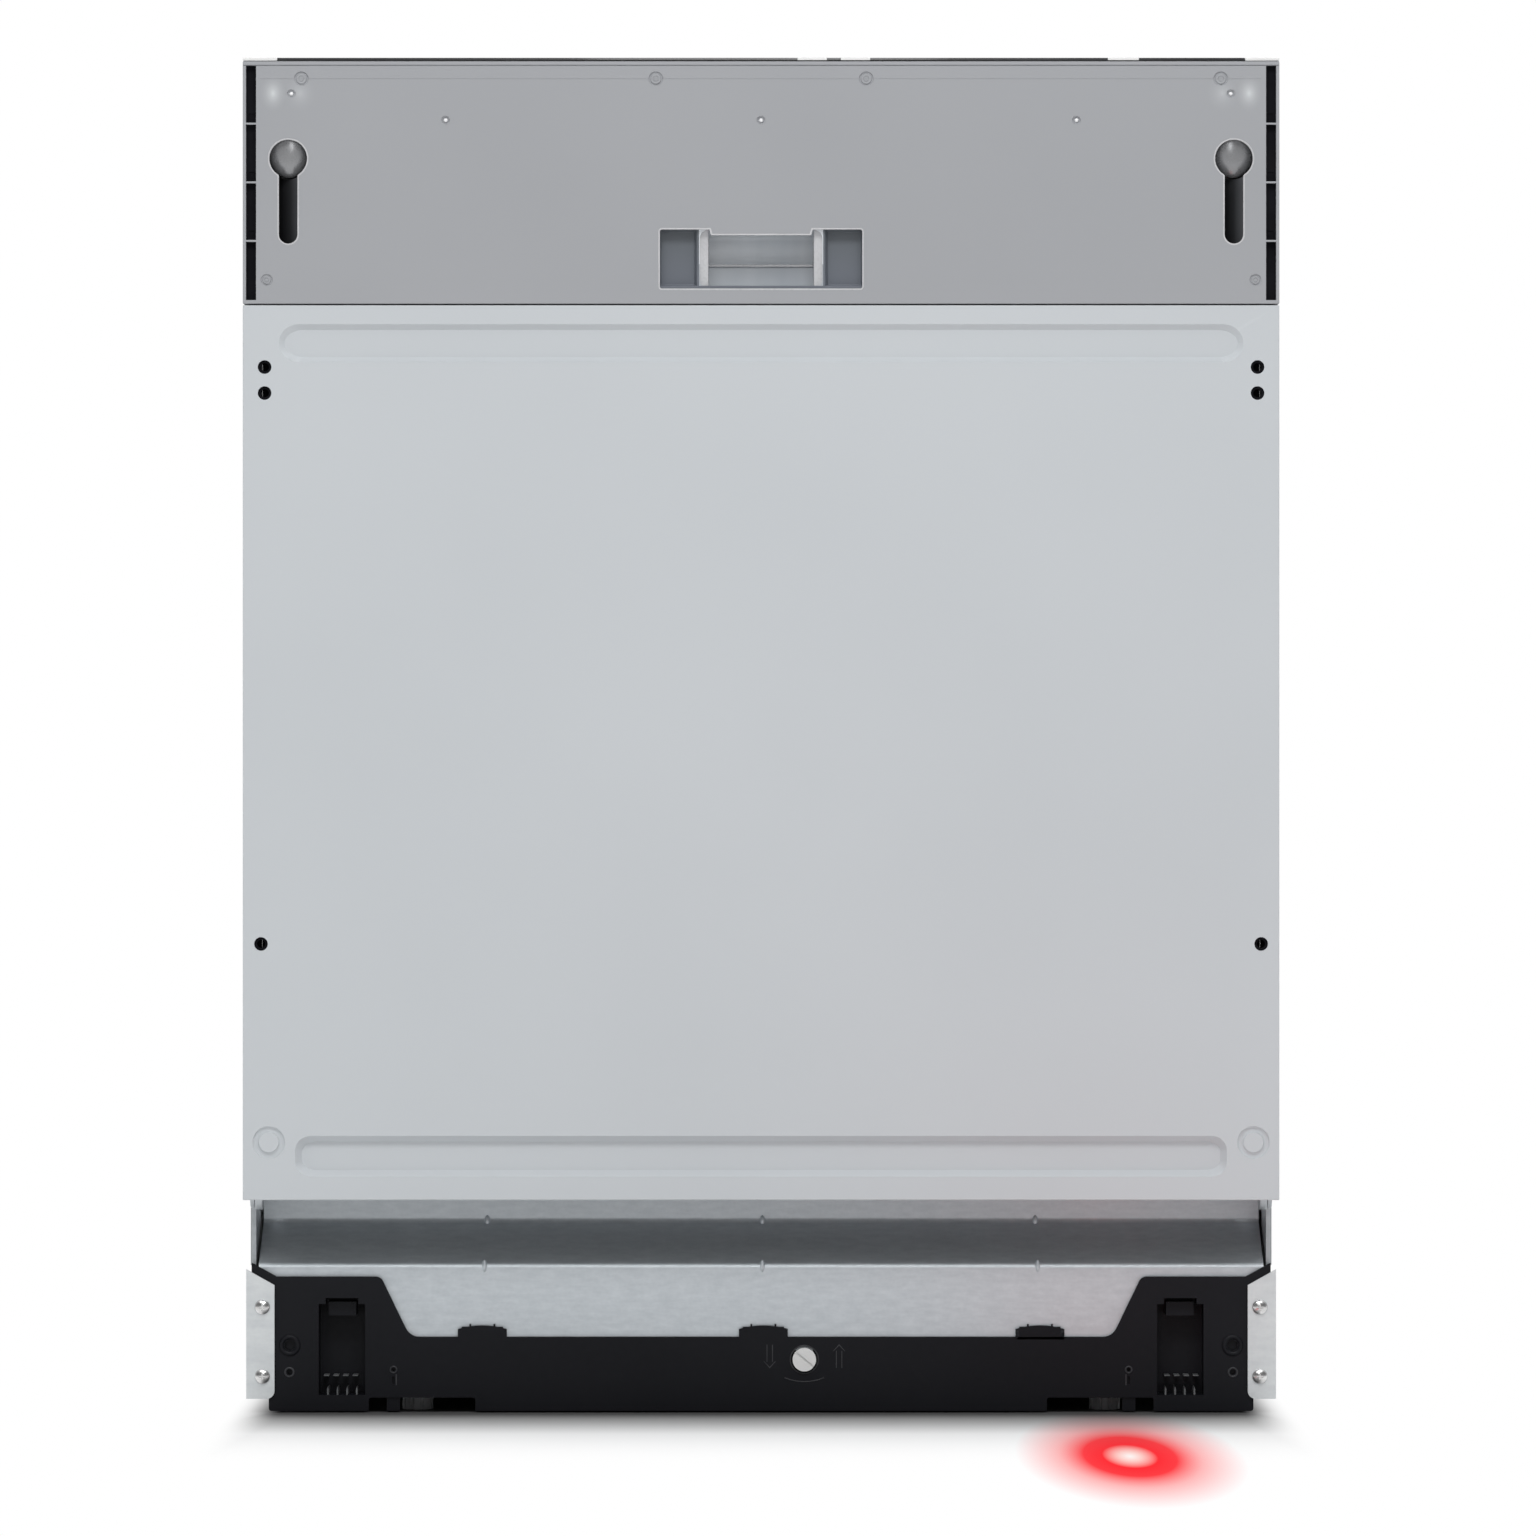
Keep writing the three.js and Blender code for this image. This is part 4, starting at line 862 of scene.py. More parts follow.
for s in (-1, 1):
    room = span(s, pocket_in - 2, pocket_out + 2)
    weld(cover, block("shell", *room, plate_back - 1, cover_back, pocket_low - 2, pocket_high + 4.5))
    room, tight = span(s, pocket_in, pocket_out), span(s, pocket_in + 4, pocket_out - 4)
    hollow = block("hollow", *room, cover_front - 2, cover_back - 2, pocket_low, pocket_high)
    notch = block("notch", *tight, cover_front - 2, cover_back - 5, pocket_high - 1, pocket_high + 3.5)
    carve(cover, hollow, notch)
    tight = span(s, pocket_in + 5.5, pocket_out - 5.5)
    weld(cover, block("hood", *tight, cover_front + 6, cover_back - 1, pocket_high - 7, pocket_high + 1))
    # Ringed hexagon socket, drilled hole, and the small slotted latch inboard of the pocket.
    weld(cover, ring("collar", s * socket_x, cover_front + 0.4, socket_z, 4.9, 1.5))
    carve(cover, rod("hexagon", "y", s * socket_x, cover_front, socket_z, 3.4, 5, 6))
    carve(cover, rod("drill", "y", s * drill_x, cover_front, drill_z, 1.6, 5, 24))
    carve(cover, rod("drill", "y", s * latch_x, cover_front, latch_z, 1.1, 5, 20))
    carve(cover, block("slit", *span(s, 212.7, 214.3), cover_front - 2, cover_front + 1.5, 16.5, 21))
    weld(cover, block("cube", *span(s, 209.9, 217.5), cover_front + 1, plate_back + 4, cover_low, arch_top + 1))
    signs += [
        ring("collar", s * socket_x, cover_front - 0.1, socket_z, 5.9, 0.35),
        ring("rim", s * drill_x, cover_front + 0.15, drill_z, 2.5, 0.6),
        ring("rim", s * latch_x, cover_front + 0.1, latch_z, 1.8, 0.5),
        block("rim", *span(s, 211.6, 212.3), cover_front - 0.2, cover_front + 0.5, 16, 22.5),
    ]
screw_x, screw_z = 25.1, 30.9
carve(cover, rod("screw_hole", "y", screw_x, cover_front, screw_z, 7.8, 20, 64))
soften(cover, 0.35, 2)
# Raised arrows that show which way the foot goes: down, up, and a bow under the screw.
raised = (cover_front - 0.2, cover_front + 0.4)
for x, way, shaft, tip_z, wing_z in ((5, -1, (29.5, 39.5), 25.8, 29.8), (45.3, 1, (26, 36), 39.8, 35.8)):
    signs += [block("shaft", x + d - 0.25, x + d + 0.25, *raised, *shaft) for d in (-1.6, 1.6)]
    for d in (-1, 1):
        points = [(x, tip_z), (x + d * 3.6, wing_z), (x + d * 3.1, wing_z), (x, tip_z - way * 0.8)]
        signs.append(outline("wing", points, "y", *raised))
bow = ring("bow", screw_x, cover_front, 48, 30, 0.3)
choose(bow, "FACE", lambda middle, normal: middle.z > 20.5)
bpy.ops.mesh.delete(type="FACE")
bow = done()
choose(bow, "EDGE", lambda middle, way: False)
bpy.ops.mesh.select_non_manifold()
bpy.ops.mesh.edge_face_add()
signs.append(done())
signs.append(ring("screw_collar", screw_x, cover_front + 0.1, screw_z, 8.1, 0.45))
smooth(cover)
finished(cover, black_plastic, "cabinet", "black_plastic", "base_front")

# The raised marks are the same plastic, a little paler as a painted highlight on their raised edges, and the small
# fins in the pockets are dark grey.
mark_highlight_black = mottled(
    "mark_highlight_black", (0.024, 0.025, 0.029), (0.042, 0.043, 0.048), scale=150.0, rough=0.4, spread=0.1, grain=400.0,
    specular_ior_level=0.4,
)
finished(smooth(gather("foot_marks", *signs)), mark_highlight_black, "cabinet", "black_plastic")
fin_grey = mottled(
    "fin_grey", (0.09, 0.095, 0.1), (0.15, 0.155, 0.16), scale=90.0, rough=0.4, spread=0.1, grain=300.0,
    specular_ior_level=0.4,
)
for side, s in (("left", -1), ("right", 1)):
    fins = []
    for i in range(4):
        x = s * (pocket_in + 5 + 5.6 * i)
        fin = [(x - 0.5, 10.2), (x + 0.5, 10.2), (x + 0.5, 13.4), (x, 15), (x - 0.5, 13.4)]
        fins.append(outline("fin", fin, "y", cover_front + 1.5, cover_back - 2))
        tooth_x = x + s * 1.2
        fins.append(block("tooth", tooth_x - 1.6, tooth_x + 1.6, cover_front + 8, cover_back - 2, 20.6, 21.3))
    finished(smooth(soften(gather(f"pocket_fins_{side}", *fins), 0.12)), fin_grey, "cabinet", "grey_plastic")


# ---------------------------------------------------------------- cross-member
# One strip of galvanised sheet, bent twice: an upright face behind the cover, a slope that leans back under the
# door, and an upright rim. Small darts are pressed across both bends to stiffen them.
def zinc_finish(name, dark, light, rough, grain=60.0, metal=0.75):
    """Hot-dip zinc: fine drawn mottling over flat crystals."""
    finish = Finish(name, metallic=metal)
    drawn = finish.noise(grain, 8.0, finish.stretched(0.5, 1.0, 1.6))
    inputs = {"Vector": finish.place(), "Scale": 420.0, "Randomness": 1.0}
    crystal = finish.node("ShaderNodeTexVoronoi", {}, inputs, "Distance")
    tone = drawn * 0.85 + crystal * 0.12
    finish.set(base_color=finish.ramp(tone, [(0.25, dark), (0.75, light)]))
    finish.set(roughness=rough + drawn * 0.16 - crystal * 0.05)
    finish.relief(finish.noise(420.0, 3.0, finish.stretched(0.35, 1.0, 1.6)), 0.00005, 0.35)
    return finish.material


galvanised = zinc_finish("galvanised", (0.39, 0.42, 0.445), (0.56, 0.59, 0.61), 0.36)
member_zinc = zinc_finish("member_zinc", (0.57, 0.615, 0.65), (0.7, 0.745, 0.78), 0.36, 200.0, 0.5)
(member_left, face_y, face_low), (_, member_back, rim_top) = corners("base_crossmember")
bend_low, bend_high, gauge = 85.3, 107.5, 1.2
bracket_screw_x, bracket_screw_levels = 289.6, (61.4, 21.2)
rim_y = member_back - gauge
points = [
    (face_y, face_low), (face_y + gauge, face_low), (face_y + gauge, bend_low - 0.6), (member_back, bend_high - 0.6),
    (member_back, rim_top), (rim_y, rim_top), (rim_y, bend_high + 0.6), (face_y, bend_low + 0.6),
]
member = outline("cross_member", points, "x", member_left, -member_left)
round_edges(member, near("x", [(face_y, bend_low + 0.6), (rim_y, bend_high + 0.6)]), 2.2, 6)
for s in (-1, 1):
    carve(member, block("pocket_room", *span(s, 226, 261), face_y - 3, face_y + 3, face_low - 1, 69))
    for z in bracket_screw_levels:
        carve(member, rod("screw_room", "y", s * bracket_screw_x, face_y, z, 3, 20, 24))
for x in (-160.8, 0.7, 160.8):
    weld(member, ball("dart", x, face_y + 1.0, bend_low - 0.4, 1.5, 2.2, 4.0, 24))
    weld(member, ball("dart", x, rim_y - 0.2, bend_high + 0.8, 1.6, 2.2, 3.6, 24))
smooth(member, 50)
finished(member, member_zinc, "cabinet", "galvanised", "base_crossmember")


# ---------------------------------------------------------------- side brackets and their screws
# A bent galvanised bracket closes each side of the foot, with two bright cross-head screws through its flange.
bracket_zinc = zinc_finish("bracket_zinc", (0.66, 0.69, 0.71), (0.78, 0.81, 0.82), 0.3, 120.0, 0.5)
(_, flange_front, flange_low), (flange_out, runner_back, flange_top) = corners("side_bracket_right")
flange_in, inner_top = 282.6, 74.2
for side, s in (("left", -1), ("right", 1)):
    points = [(flange_in, flange_low), (flange_out, flange_low), (flange_out, flange_top), (flange_in, inner_top)]
    points = [(s * x, z) for x, z in points]
    flange = outline(f"bracket_{side}", points, "y", flange_front, flange_front + 1.5)
    round_edges(flange, near("y", [(s * flange_in, flange_low)]), 4.5, 6)
    edges = span(s, flange_out - 1.5, flange_out)
    weld(flange, block("runner", *edges, flange_front + 0.5, runner_back, flange_low, inner_top))
    for z in bracket_screw_levels:
        carve(flange, rod("hole", "y", s * bracket_screw_x, flange_front, z, 2.6, 12, 24))
    finished(smooth(soften(flange, 0.4, 3)), bracket_zinc, "cabinet", "galvanised", f"side_bracket_{side}")

bright_zinc = mottled(
    "bright_zinc", (0.58,) * 3, (0.82,) * 3, scale=300.0, rough=0.16, spread=0.14, grain=900.0,
    metallic=1.0,
)
for i, (x, z) in enumerate([(s * bracket_screw_x, z) for s in (-1, 1) for z in bracket_screw_levels]):
    head = ball(f"cross_screw_{i + 1}", x, flange_front - 0.1, z, 4.5, 2.4, 4.5, 40)
    carve(head, block("flat", x - 9, x + 9, flange_front, flange_front + 9, z - 9, z + 9))
    for w, h in ((1.9, 0.5), (0.5, 1.9)):
        carve(head, block("cross", x - w, x + w, flange_front - 4, flange_front - 1.1, z - h, z + h))
    weld(head, rod("thread", "y", x, flange_front + 4, z, 2, 9, 20))
    finished(smooth(head), bright_zinc, "cabinet", "zinc_screw", f"bracket_screw_{i + 1}")

# ---------------------------------------------------------------- feet
# White slotted screw in the front that winds the rear foot, and three grey feet with threaded stems.
(_, spindle_front, _), (_, spindle_back, _) = corners("rear_foot_adjuster")
spindle = rod("foot_spindle", "y", screw_x, spindle_front + 3, screw_z, 6.8, 6, 64)
slot_depths = (spindle_front - 1, spindle_front + 1.2)
slot_cut = block("slot", screw_x - 8, screw_x + 8, *slot_depths, screw_z - 0.75, screw_z + 0.75)
choose(slot_cut, "FACE", lambda middle, way: True)
centre = (screw_x * MM, spindle_front * MM, screw_z * MM)
bpy.ops.transform.rotate(value=math.radians(-40), orient_axis="Y", center_override=centre)
carve(spindle, done())
soften(spindle, 0.5, 3)
shaft_middle, shaft_length = (spindle_front + 5 + spindle_back) / 2, spindle_back - spindle_front - 5
weld(spindle, rod("shaft", "y", screw_x, shaft_middle, screw_z, 3, shaft_length, 24))
finished(smooth(spindle), white_plastic, "rear_foot_adjuster", "white_plastic", "rear_foot_adjuster")

grey_plastic = mottled(
    "grey_plastic", (0.36, 0.37, 0.385), (0.43, 0.44, 0.455), scale=20.0, rough=0.4, spread=0.12, grain=350.0,
    bumps=1200.0, specular_ior_level=0.4,
)
for name in ("front_foot_left", "front_foot_right", "rear_foot"):
    (x0, y0, z0), (x1, y1, z1) = corners(name)
    x, y, r = (x0 + x1) / 2, (y0 + y1) / 2, (x1 - x0) / 2
    pad = rod(f"{name}_pad", "z", x, y, 4, r, 8, 48)
    for i in range(10):
        turn = math.radians(36 * i)
        carve(pad, rod("flute", "z", x + r * math.cos(turn), y + r * math.sin(turn), 5, r * 0.1, 12, 16))
    soften(pad, 0.5, 2)
    stem_r = min(r * 0.62, 7)
    weld(pad, rod("stem", "z", x, y, (7 + z1) / 2, stem_r, z1 - 7, 40))
    threads = [ring("thread", x, y, 12 + 3 * i, stem_r, 0.9, "z") for i in range(int((z1 - 14) / 3))]
    foot = gather(f"{name}_pad", pad, *threads)
    finished(smooth(foot), grey_plastic, name, "grey_plastic", name)


# ---------------------------------------------------------------- floor lamp
# A small red lens under the door's right end throws a spot on the kitchen floor while the machine runs.
def lens_finish():
    """Clear red plastic, lit from inside."""
    finish = Finish("red_lens", roughness=0.12, emission_strength=3.0)
    finish.set(base_color=finish.ramp(finish.noise(90.0), [(0.3, (0.55, 0.01, 0.01)), (0.7, (0.7, 0.02, 0.02))]))
    finish.set(emission_color=finish.ramp(finish.noise(60.0), [(0.3, (1.0, 0.02, 0.02)), (0.7, (1.0, 0.08, 0.06))]))
    return finish.material


red_lens = lens_finish()
slots = {part["node"]: part["material_slot"] for part in frame["record"]["subparts"]}


def rounded_copy(node, material, r=0.6, angle=32):
    """A copy of a CAD node with its flat faces joined up and its edges rounded, which stands for the node."""
    source = frame["nodes"][node]
    obj = bpy.data.objects.new(f"{node}_form", source.data.copy())
    scene.collection.objects.link(obj)
    alone(obj)
    bpy.ops.mesh.customdata_custom_splitnormals_clear()
    bpy.ops.object.mode_set(mode="EDIT")
    bpy.ops.mesh.select_all(action="SELECT")
    bpy.ops.mesh.remove_doubles(threshold=0.00002)
    bpy.ops.mesh.dissolve_limited(angle_limit=math.radians(1))
    done()
    smooth(soften(obj, r, 2, angle), 40)
    return finished(obj, material, source["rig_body"], slots[node], node)


lens = rounded_copy("indicator_lens", red_lens, 0.8)
carve(lens, block("flush", 100, 300, -300, 0, 0, sheet_low + 0.6))


# ---------------------------------------------------------------- inner door
# Bright brushed stainless shell of the door's inside, with two pressed fields, and round it the latch and hinges.
def stainless_finish(name, streaks, rough, lift=0.3):
    """Stainless steel with a fine brushed grain."""
    finish = Finish(name, metallic=1.0)
    brush = finish.noise(70.0, 5.0, finish.stretched(*streaks))
    finish.set(base_color=finish.ramp(brush, [(0.3, (0.6, 0.605, 0.61)), (0.7, (0.72, 0.72, 0.72))]))
    finish.set(roughness=rough + brush * 0.14)
    finish.relief(finish.noise(260.0, 3.0, finish.stretched(*streaks)), 0.00003, lift)
    return finish.material


stainless = stainless_finish("stainless", (0.15, 1.0, 6.0), 0.2)
(_, liner_front, liner_low), (liner_side, liner_back, liner_top) = corners("door_inner_liner")
liner = block("inner_door", -liner_side, liner_side, liner_front, liner_back, liner_low, liner_top)
choose(liner, "FACE", lambda middle, normal: normal.y < -0.9)
bpy.ops.mesh.inset(thickness=1.2 * MM)
bpy.ops.mesh.extrude_region_move(TRANSFORM_OT_translate={"value": (0, (liner_back - liner_front - 6) * MM, 0)})
liner = done()
round_edges(liner, lambda middle, way: middle.y > liner_back - 0.5, 4, 5)
for z0, z1 in ((168, 398), (584, 728)):
    press = block("press", -262, 262, liner_back - 3, liner_back + 1, z0, z1)
    round_edges(press, along("y"), 26, 10)
    choose(press, "FACE", lambda middle, normal: normal.y < -0.9)
    bpy.ops.transform.resize(value=(0.96, 1, 0.93), center_override=(0, 0, (z0 + z1) / 2 * MM))
    carve(liner, done())
(_, _, cup_z0), (_, _, cup_z1) = corners("dispenser_body")
carve(liner, block("cutout", -78.3, 78.3, liner_back - 9, liner_back + 3, cup_z0 + 7.7, cup_z1 - 7.7))
(latch_x0, _, latch_z0), (latch_x1, _, latch_z1) = corners("door_latch")
edges, levels = (latch_x0 - 0.4, latch_x1 + 0.4), (latch_z0 - 0.4, latch_z1 + 0.4)
carve(liner, block("cutout", *edges, liner_back - 9, liner_back + 3, *levels))
smooth(soften(liner, 0.7, 3, 14), 60)
finished(liner, stainless, "door", "stainless", "door_inner_liner")

steel = zinc_finish("steel", (0.42, 0.42, 0.43), (0.56, 0.56, 0.57), 0.28, 60.0)
for side in ("left", "right"):
    rounded_copy(f"hinge_arm_{side}", galvanised, 0.5)
    rounded_copy(f"hinge_bracket_{side}", galvanised, 0.5)
rounded_copy("door_latch", black_plastic, 0.5)
rounded_copy("door_striker", steel, 0.5)

# Each door spring is a close coil with a hook at both ends.
for side in ("left", "right"):
    (x0, y0, z0), (x1, y1, z1) = corners(f"door_spring_{side}")
    x, z = (x0 + x1) / 2, (z0 + z1) / 2
    coil_r, turns, pitch = 5.2, 34, 3.1
    bpy.ops.object.select_all(action="DESELECT")
    bpy.ops.mesh.primitive_circle_add(vertices=8, radius=1.2 * MM, location=(coil_r * MM, 0, 0))
    spring = settle()
    modifier = spring.modifiers.new("coil", "SCREW")
    modifier.axis = "Y"
    modifier.screw_offset = pitch * MM
    modifier.iterations = turns
    modifier.steps = modifier.render_steps = 14
    alone(spring)
    bpy.ops.object.modifier_apply(modifier=modifier.name)
    bpy.ops.object.mode_set(mode="EDIT")
    bpy.ops.mesh.select_all(action="SELECT")
    bpy.ops.transform.translate(value=(x * MM, (y0 + y1 - turns * pitch) / 2 * MM, z * MM))
    bpy.ops.mesh.normals_make_consistent(inside=False)
    done()
    hooks = [ring("hook", x, y, z, 4.2, 1.1, "x") for y in (y0 + 8, y1 - 8)]
    spring = gather(f"coil_spring_{side}", spring, *hooks)
    finished(smooth(spring, 60), steel, "cabinet", "steel", f"door_spring_{side}")

# The dispenser for detergent and rinse aid: a grey tray, a sliding lid and a blue-grey turning cap.
rounded_copy("dispenser_body", grey_plastic, 1.4)
pale_grey = mottled(
    "pale_grey", (0.44, 0.45, 0.465), (0.5, 0.51, 0.52), scale=18.0, rough=0.34, spread=0.12, grain=350.0,
    specular_ior_level=0.45,
)
rounded_copy("dispenser_lid", pale_grey, 1.0)


def cap_finish():
    """Smooth blue-grey plastic of the turning cap."""
    finish = Finish("recess_plastic", roughness=0.28, specular_ior_level=0.5)
    stops = [(0.3, (0.33, 0.35, 0.375)), (0.7, (0.36, 0.38, 0.40))]
    finish.set(base_color=finish.ramp(finish.noise(40.0, 2.0), stops))
    return finish.material


rounded_copy("rinse_aid_cap", cap_finish(), 0.8)

# ---------------------------------------------------------------- tub and what stands in it
# Drawn stainless tub with a black gasket round its mouth, the sump with its filters, the softener's salt cap and the
# water riser.
tub_steel = stainless_finish("tub_steel", (1.0, 1.0, 1.0), 0.3, 0.0)
rounded_copy("tub", tub_steel, 0.8)
black_rubber = mottled(
    "black_rubber", (0.012, 0.012, 0.012), (0.024, 0.024, 0.025), scale=40.0, rough=0.66, spread=0.2, grain=200.0,
    specular_ior_level=0.2,
)
rounded_copy("tub_gasket", black_rubber, 1.5)


def mesh_finish():
    """Stainless sheet with rows of fine round holes."""
    finish = Finish("perforated_steel", metallic=0.9, roughness=0.3)
    inputs = {"Vector": finish.stretched(1.0, 1.0, 0.2), "Scale": 420.0, "Randomness": 0.0}
    spot = finish.node("ShaderNodeTexVoronoi", {}, inputs, "Distance")
    solid = spot.above(0.3)
    finish.set(base_color=finish.mix(solid, (0.02, 0.02, 0.02), (0.6, 0.6, 0.6)))
    finish.relief(solid, 0.0003, 0.6)
    return finish.material


perforated = mesh_finish()
rounded_copy("flat_filter", perforated, 0.3)
rounded_copy("filter_cup", pale_grey, 1.0)
rounded_copy("salt_cap", white_plastic, 1.6)
rounded_copy("sump", black_plastic, 1.0)
rounded_copy("water_softener", white_plastic, 1.5)
rounded_copy("riser_pipe", grey_plastic, 1.5)
rounded_copy("circulation_pump", black_plastic, 1.2)
rounded_copy("drain_pump", grey_plastic, 1.0)
rounded_copy("base_tray", black_plastic, 0.6)
for side in ("left", "right"):
    rounded_copy(f"upper_rail_{side}", stainless, 0.5)


# Spray arms: flat hollow blades with rounded ends that turn on a hub, with a row of jets along each.
for name in ("lower_spray_arm", "upper_spray_arm"):
    (x0, y0, z0), (x1, y1, z1) = corners(name)
    y, reach, wide, low_z, high_z = (y0 + y1) / 2, x1, (y1 - y0) / 2, z0 + 4, z0 + 14
    edge = []
    for i in range(24):
        turn = 2 * math.pi * i / 24
        bulge = abs(math.cos(turn)) ** 0.35 * math.copysign(1, math.cos(turn))
        edge.append((reach * bulge, y + (wide * 0.82) * math.sin(turn)))
    blade = outline(f"{name}_blade", edge, "z", low_z, high_z)
    soften(blade, 3.2, 4, 40)
    hub = soften(rod("hub", "z", 0, y, (z0 + z1) / 2, wide * 0.9, z1 - z0, 48), 2.0, 3)
    weld(blade, hub)
    for i, x in enumerate((-188, -150, -112, -74, -44, 44, 74, 112, 150, 188)):
        lean = 9 if i % 2 else -9
        jet = ball("jet", x, y + lean, high_z, 6, 3.6, 1.6, 20)
        weld(blade, jet)
        carve(blade, block("slit", x - 2.6, x + 2.6, y + lean - 0.6, y + lean + 0.6, high_z, high_z + 4))
    finished(smooth(blade), pale_grey, name, "grey_plastic", name)


# ---------------------------------------------------------------- racks
# Both racks are welded from steel wire and dipped in grey nylon: cross hoops, long wires, thick rims and tines. The
# lower one runs on four wheels and carries the cutlery basket, the upper one hangs in its rails.
coated_wire = mottled(
    "coated_wire", (0.2, 0.225, 0.255), (0.27, 0.295, 0.325), scale=35.0, rough=0.26, spread=0.16, grain=160.0,
    specular_ior_level=0.5,
)


def wire(name, points, gauge, closed=False, bend=8):
    """A round wire along a path, with each corner bent to a radius."""
    spots = [Vector(p) for p in points]
    path = []
    for i, spot in enumerate(spots):
        if not closed and i in (0, len(spots) - 1):
            path.append(spot)
            continue
        before = spot + (spots[i - 1] - spot).normalized() * bend
        after = spot + (spots[(i + 1) % len(spots)] - spot).normalized() * bend
        path += [before.lerp(spot, t).lerp(spot.lerp(after, t), t) for t in (0, 0.25, 0.5, 0.75, 1)]
    curve = bpy.data.curves.new(name, "CURVE")
    curve.dimensions = "3D"
    curve.bevel_depth = gauge / 2 * MM
    curve.bevel_resolution = 1
    curve.use_fill_caps = True
    spline = curve.splines.new("POLY")
    spline.points.add(len(path) - 1)
    for point, spot in zip(spline.points, path):
        point.co = (*(spot * MM), 1)
    spline.use_cyclic_u = closed
    obj = bpy.data.objects.new(name, curve)
    scene.collection.objects.link(obj)
    alone(obj)
    bpy.ops.object.convert(target="MESH")
    return bpy.context.object


def repeat(obj, count, step):
    """A row of count pieces, each a step further on than the last."""
    alone(obj)
    modifier = obj.modifiers.new("repeat", "ARRAY")
    modifier.use_relative_offset = False
    modifier.use_constant_offset = True
    modifier.constant_offset_displace = Vector(step) * MM
    modifier.count = count
    bpy.ops.object.modifier_apply(modifier=modifier.name)
    return obj


def loop(x, y0, y1, z, gauge):
    return wire("rim", [(-x, y0, z), (x, y0, z), (x, y1, z), (-x, y1, z)], gauge, True, 26)


(_, rack_y0, _), (rack_x, rack_y1, rack_top) = corners("lower_rack")
rack_floor, rim_x, rim_z = 199, rack_x - 3, rack_top - 3
front_y, rear_y = rack_y0 + 3, rack_y1 - 3
first_y, row = front_y + 20, (0, 26, 0)
hoop = [(-rim_x, rim_z), (-rim_x, rack_floor), (rim_x, rack_floor), (rim_x, rim_z)]
hoop = wire("hoop", [(x, first_y, z) for x, z in hoop], 3.2, bend=14)
long_wire = [(front_y, rim_z), (front_y, rack_floor), (rear_y, rack_floor), (rear_y, rim_z)]
long_wire = wire("long", [(-240, y, z) for y, z in long_wire], 3.2, bend=14)
pieces = [repeat(hoop, 15, row), repeat(long_wire, 13, (40, 0, 0))]
for z, gauge in ((rim_z, 5), (rim_z - 55, 3.6), (rack_floor + 10, 3.6)):
    pieces.append(loop(rim_x, front_y, rear_y, z, gauge))
for x in (-120, -40, 40, 120, 200):
    tine = wire("tine", [(x, front_y + 26, rack_floor), (x, front_y + 26, 240), (x, front_y + 34, 274)], 3.4, bend=6)
    pieces.append(repeat(tine, 14, row))
# Axle posts stand out from the rack's foot at each wheel.
for name in ("rack_wheel_front_left", "rack_wheel_front_right", "rack_wheel_rear_left", "rack_wheel_rear_right"):
    (x0, y0, z0), (x1, y1, z1) = corners(name)
    s = 1 if x1 > 0 else -1
    y, z, inner, outer = (y0 + y1) / 2, (z0 + z1) / 2, min(abs(x0), abs(x1)), max(abs(x0), abs(x1))
    post = block("post", *span(s, inner - 5, inner - 0.8), y - 8, y + 8, z - 6, rack_floor + 10)
    round_edges(post, near("x", [(y - 8, z - 6), (y + 8, z - 6)]), 6, 6)
    axle = rod("axle", "x", s * (inner + outer + 1) / 2, y, z, 3, outer - inner + 1, 24)
    pieces += [soften(post, 0.5), axle]
    # Wheel: a grooved tyre, a sunk web with six holes, and a raised hub.
    wheel_r, middle_x, width = (z1 - z0) / 2, (x0 + x1) / 2, x1 - x0
    wheel = rod(f"{name}_tyre", "x", middle_x, y, z, wheel_r, width, 56)
    soften(wheel, 1.6, 3)
    for d in (-1, 1):
        well = rod("well", "x", middle_x + d * width / 2, y, z, wheel_r - 4, width * 0.5, 48)
        carve(well, rod("keep", "x", middle_x + d * width / 2, y, z, 6, width, 32))
        carve(wheel, well)
    for i in range(6):
        turn = math.radians(60 * i)
        hole_y, hole_z = y + 9.6 * math.cos(turn), z + 9.6 * math.sin(turn)
        carve(wheel, rod("hole", "x", middle_x, hole_y, hole_z, 2, width * 2, 16))
    carve(wheel, rod("bore", "x", middle_x, y, z, 3.2, width * 2, 24))
    finished(smooth(wheel), pale_grey, name, "grey_plastic", name)
handle = block("handle", -55, 55, rack_y0 + 0.5, rack_y0 + 8, rim_z - 22, rim_z + 2.5)
round_edges(handle, along("y"), 8, 6)
carve(handle, soften(block("window", -42, 42, rack_y0 - 3, rack_y0 + 12, rim_z - 16, rim_z - 5), 2, 3))
lower_rack = gather("lower_rack_wires", *pieces)
finished(smooth(lower_rack, 60), coated_wire, "lower_rack", "coated_wire", "lower_rack")
finished(smooth(soften(handle, 1.2, 3)), pale_grey, "lower_rack", "grey_plastic")

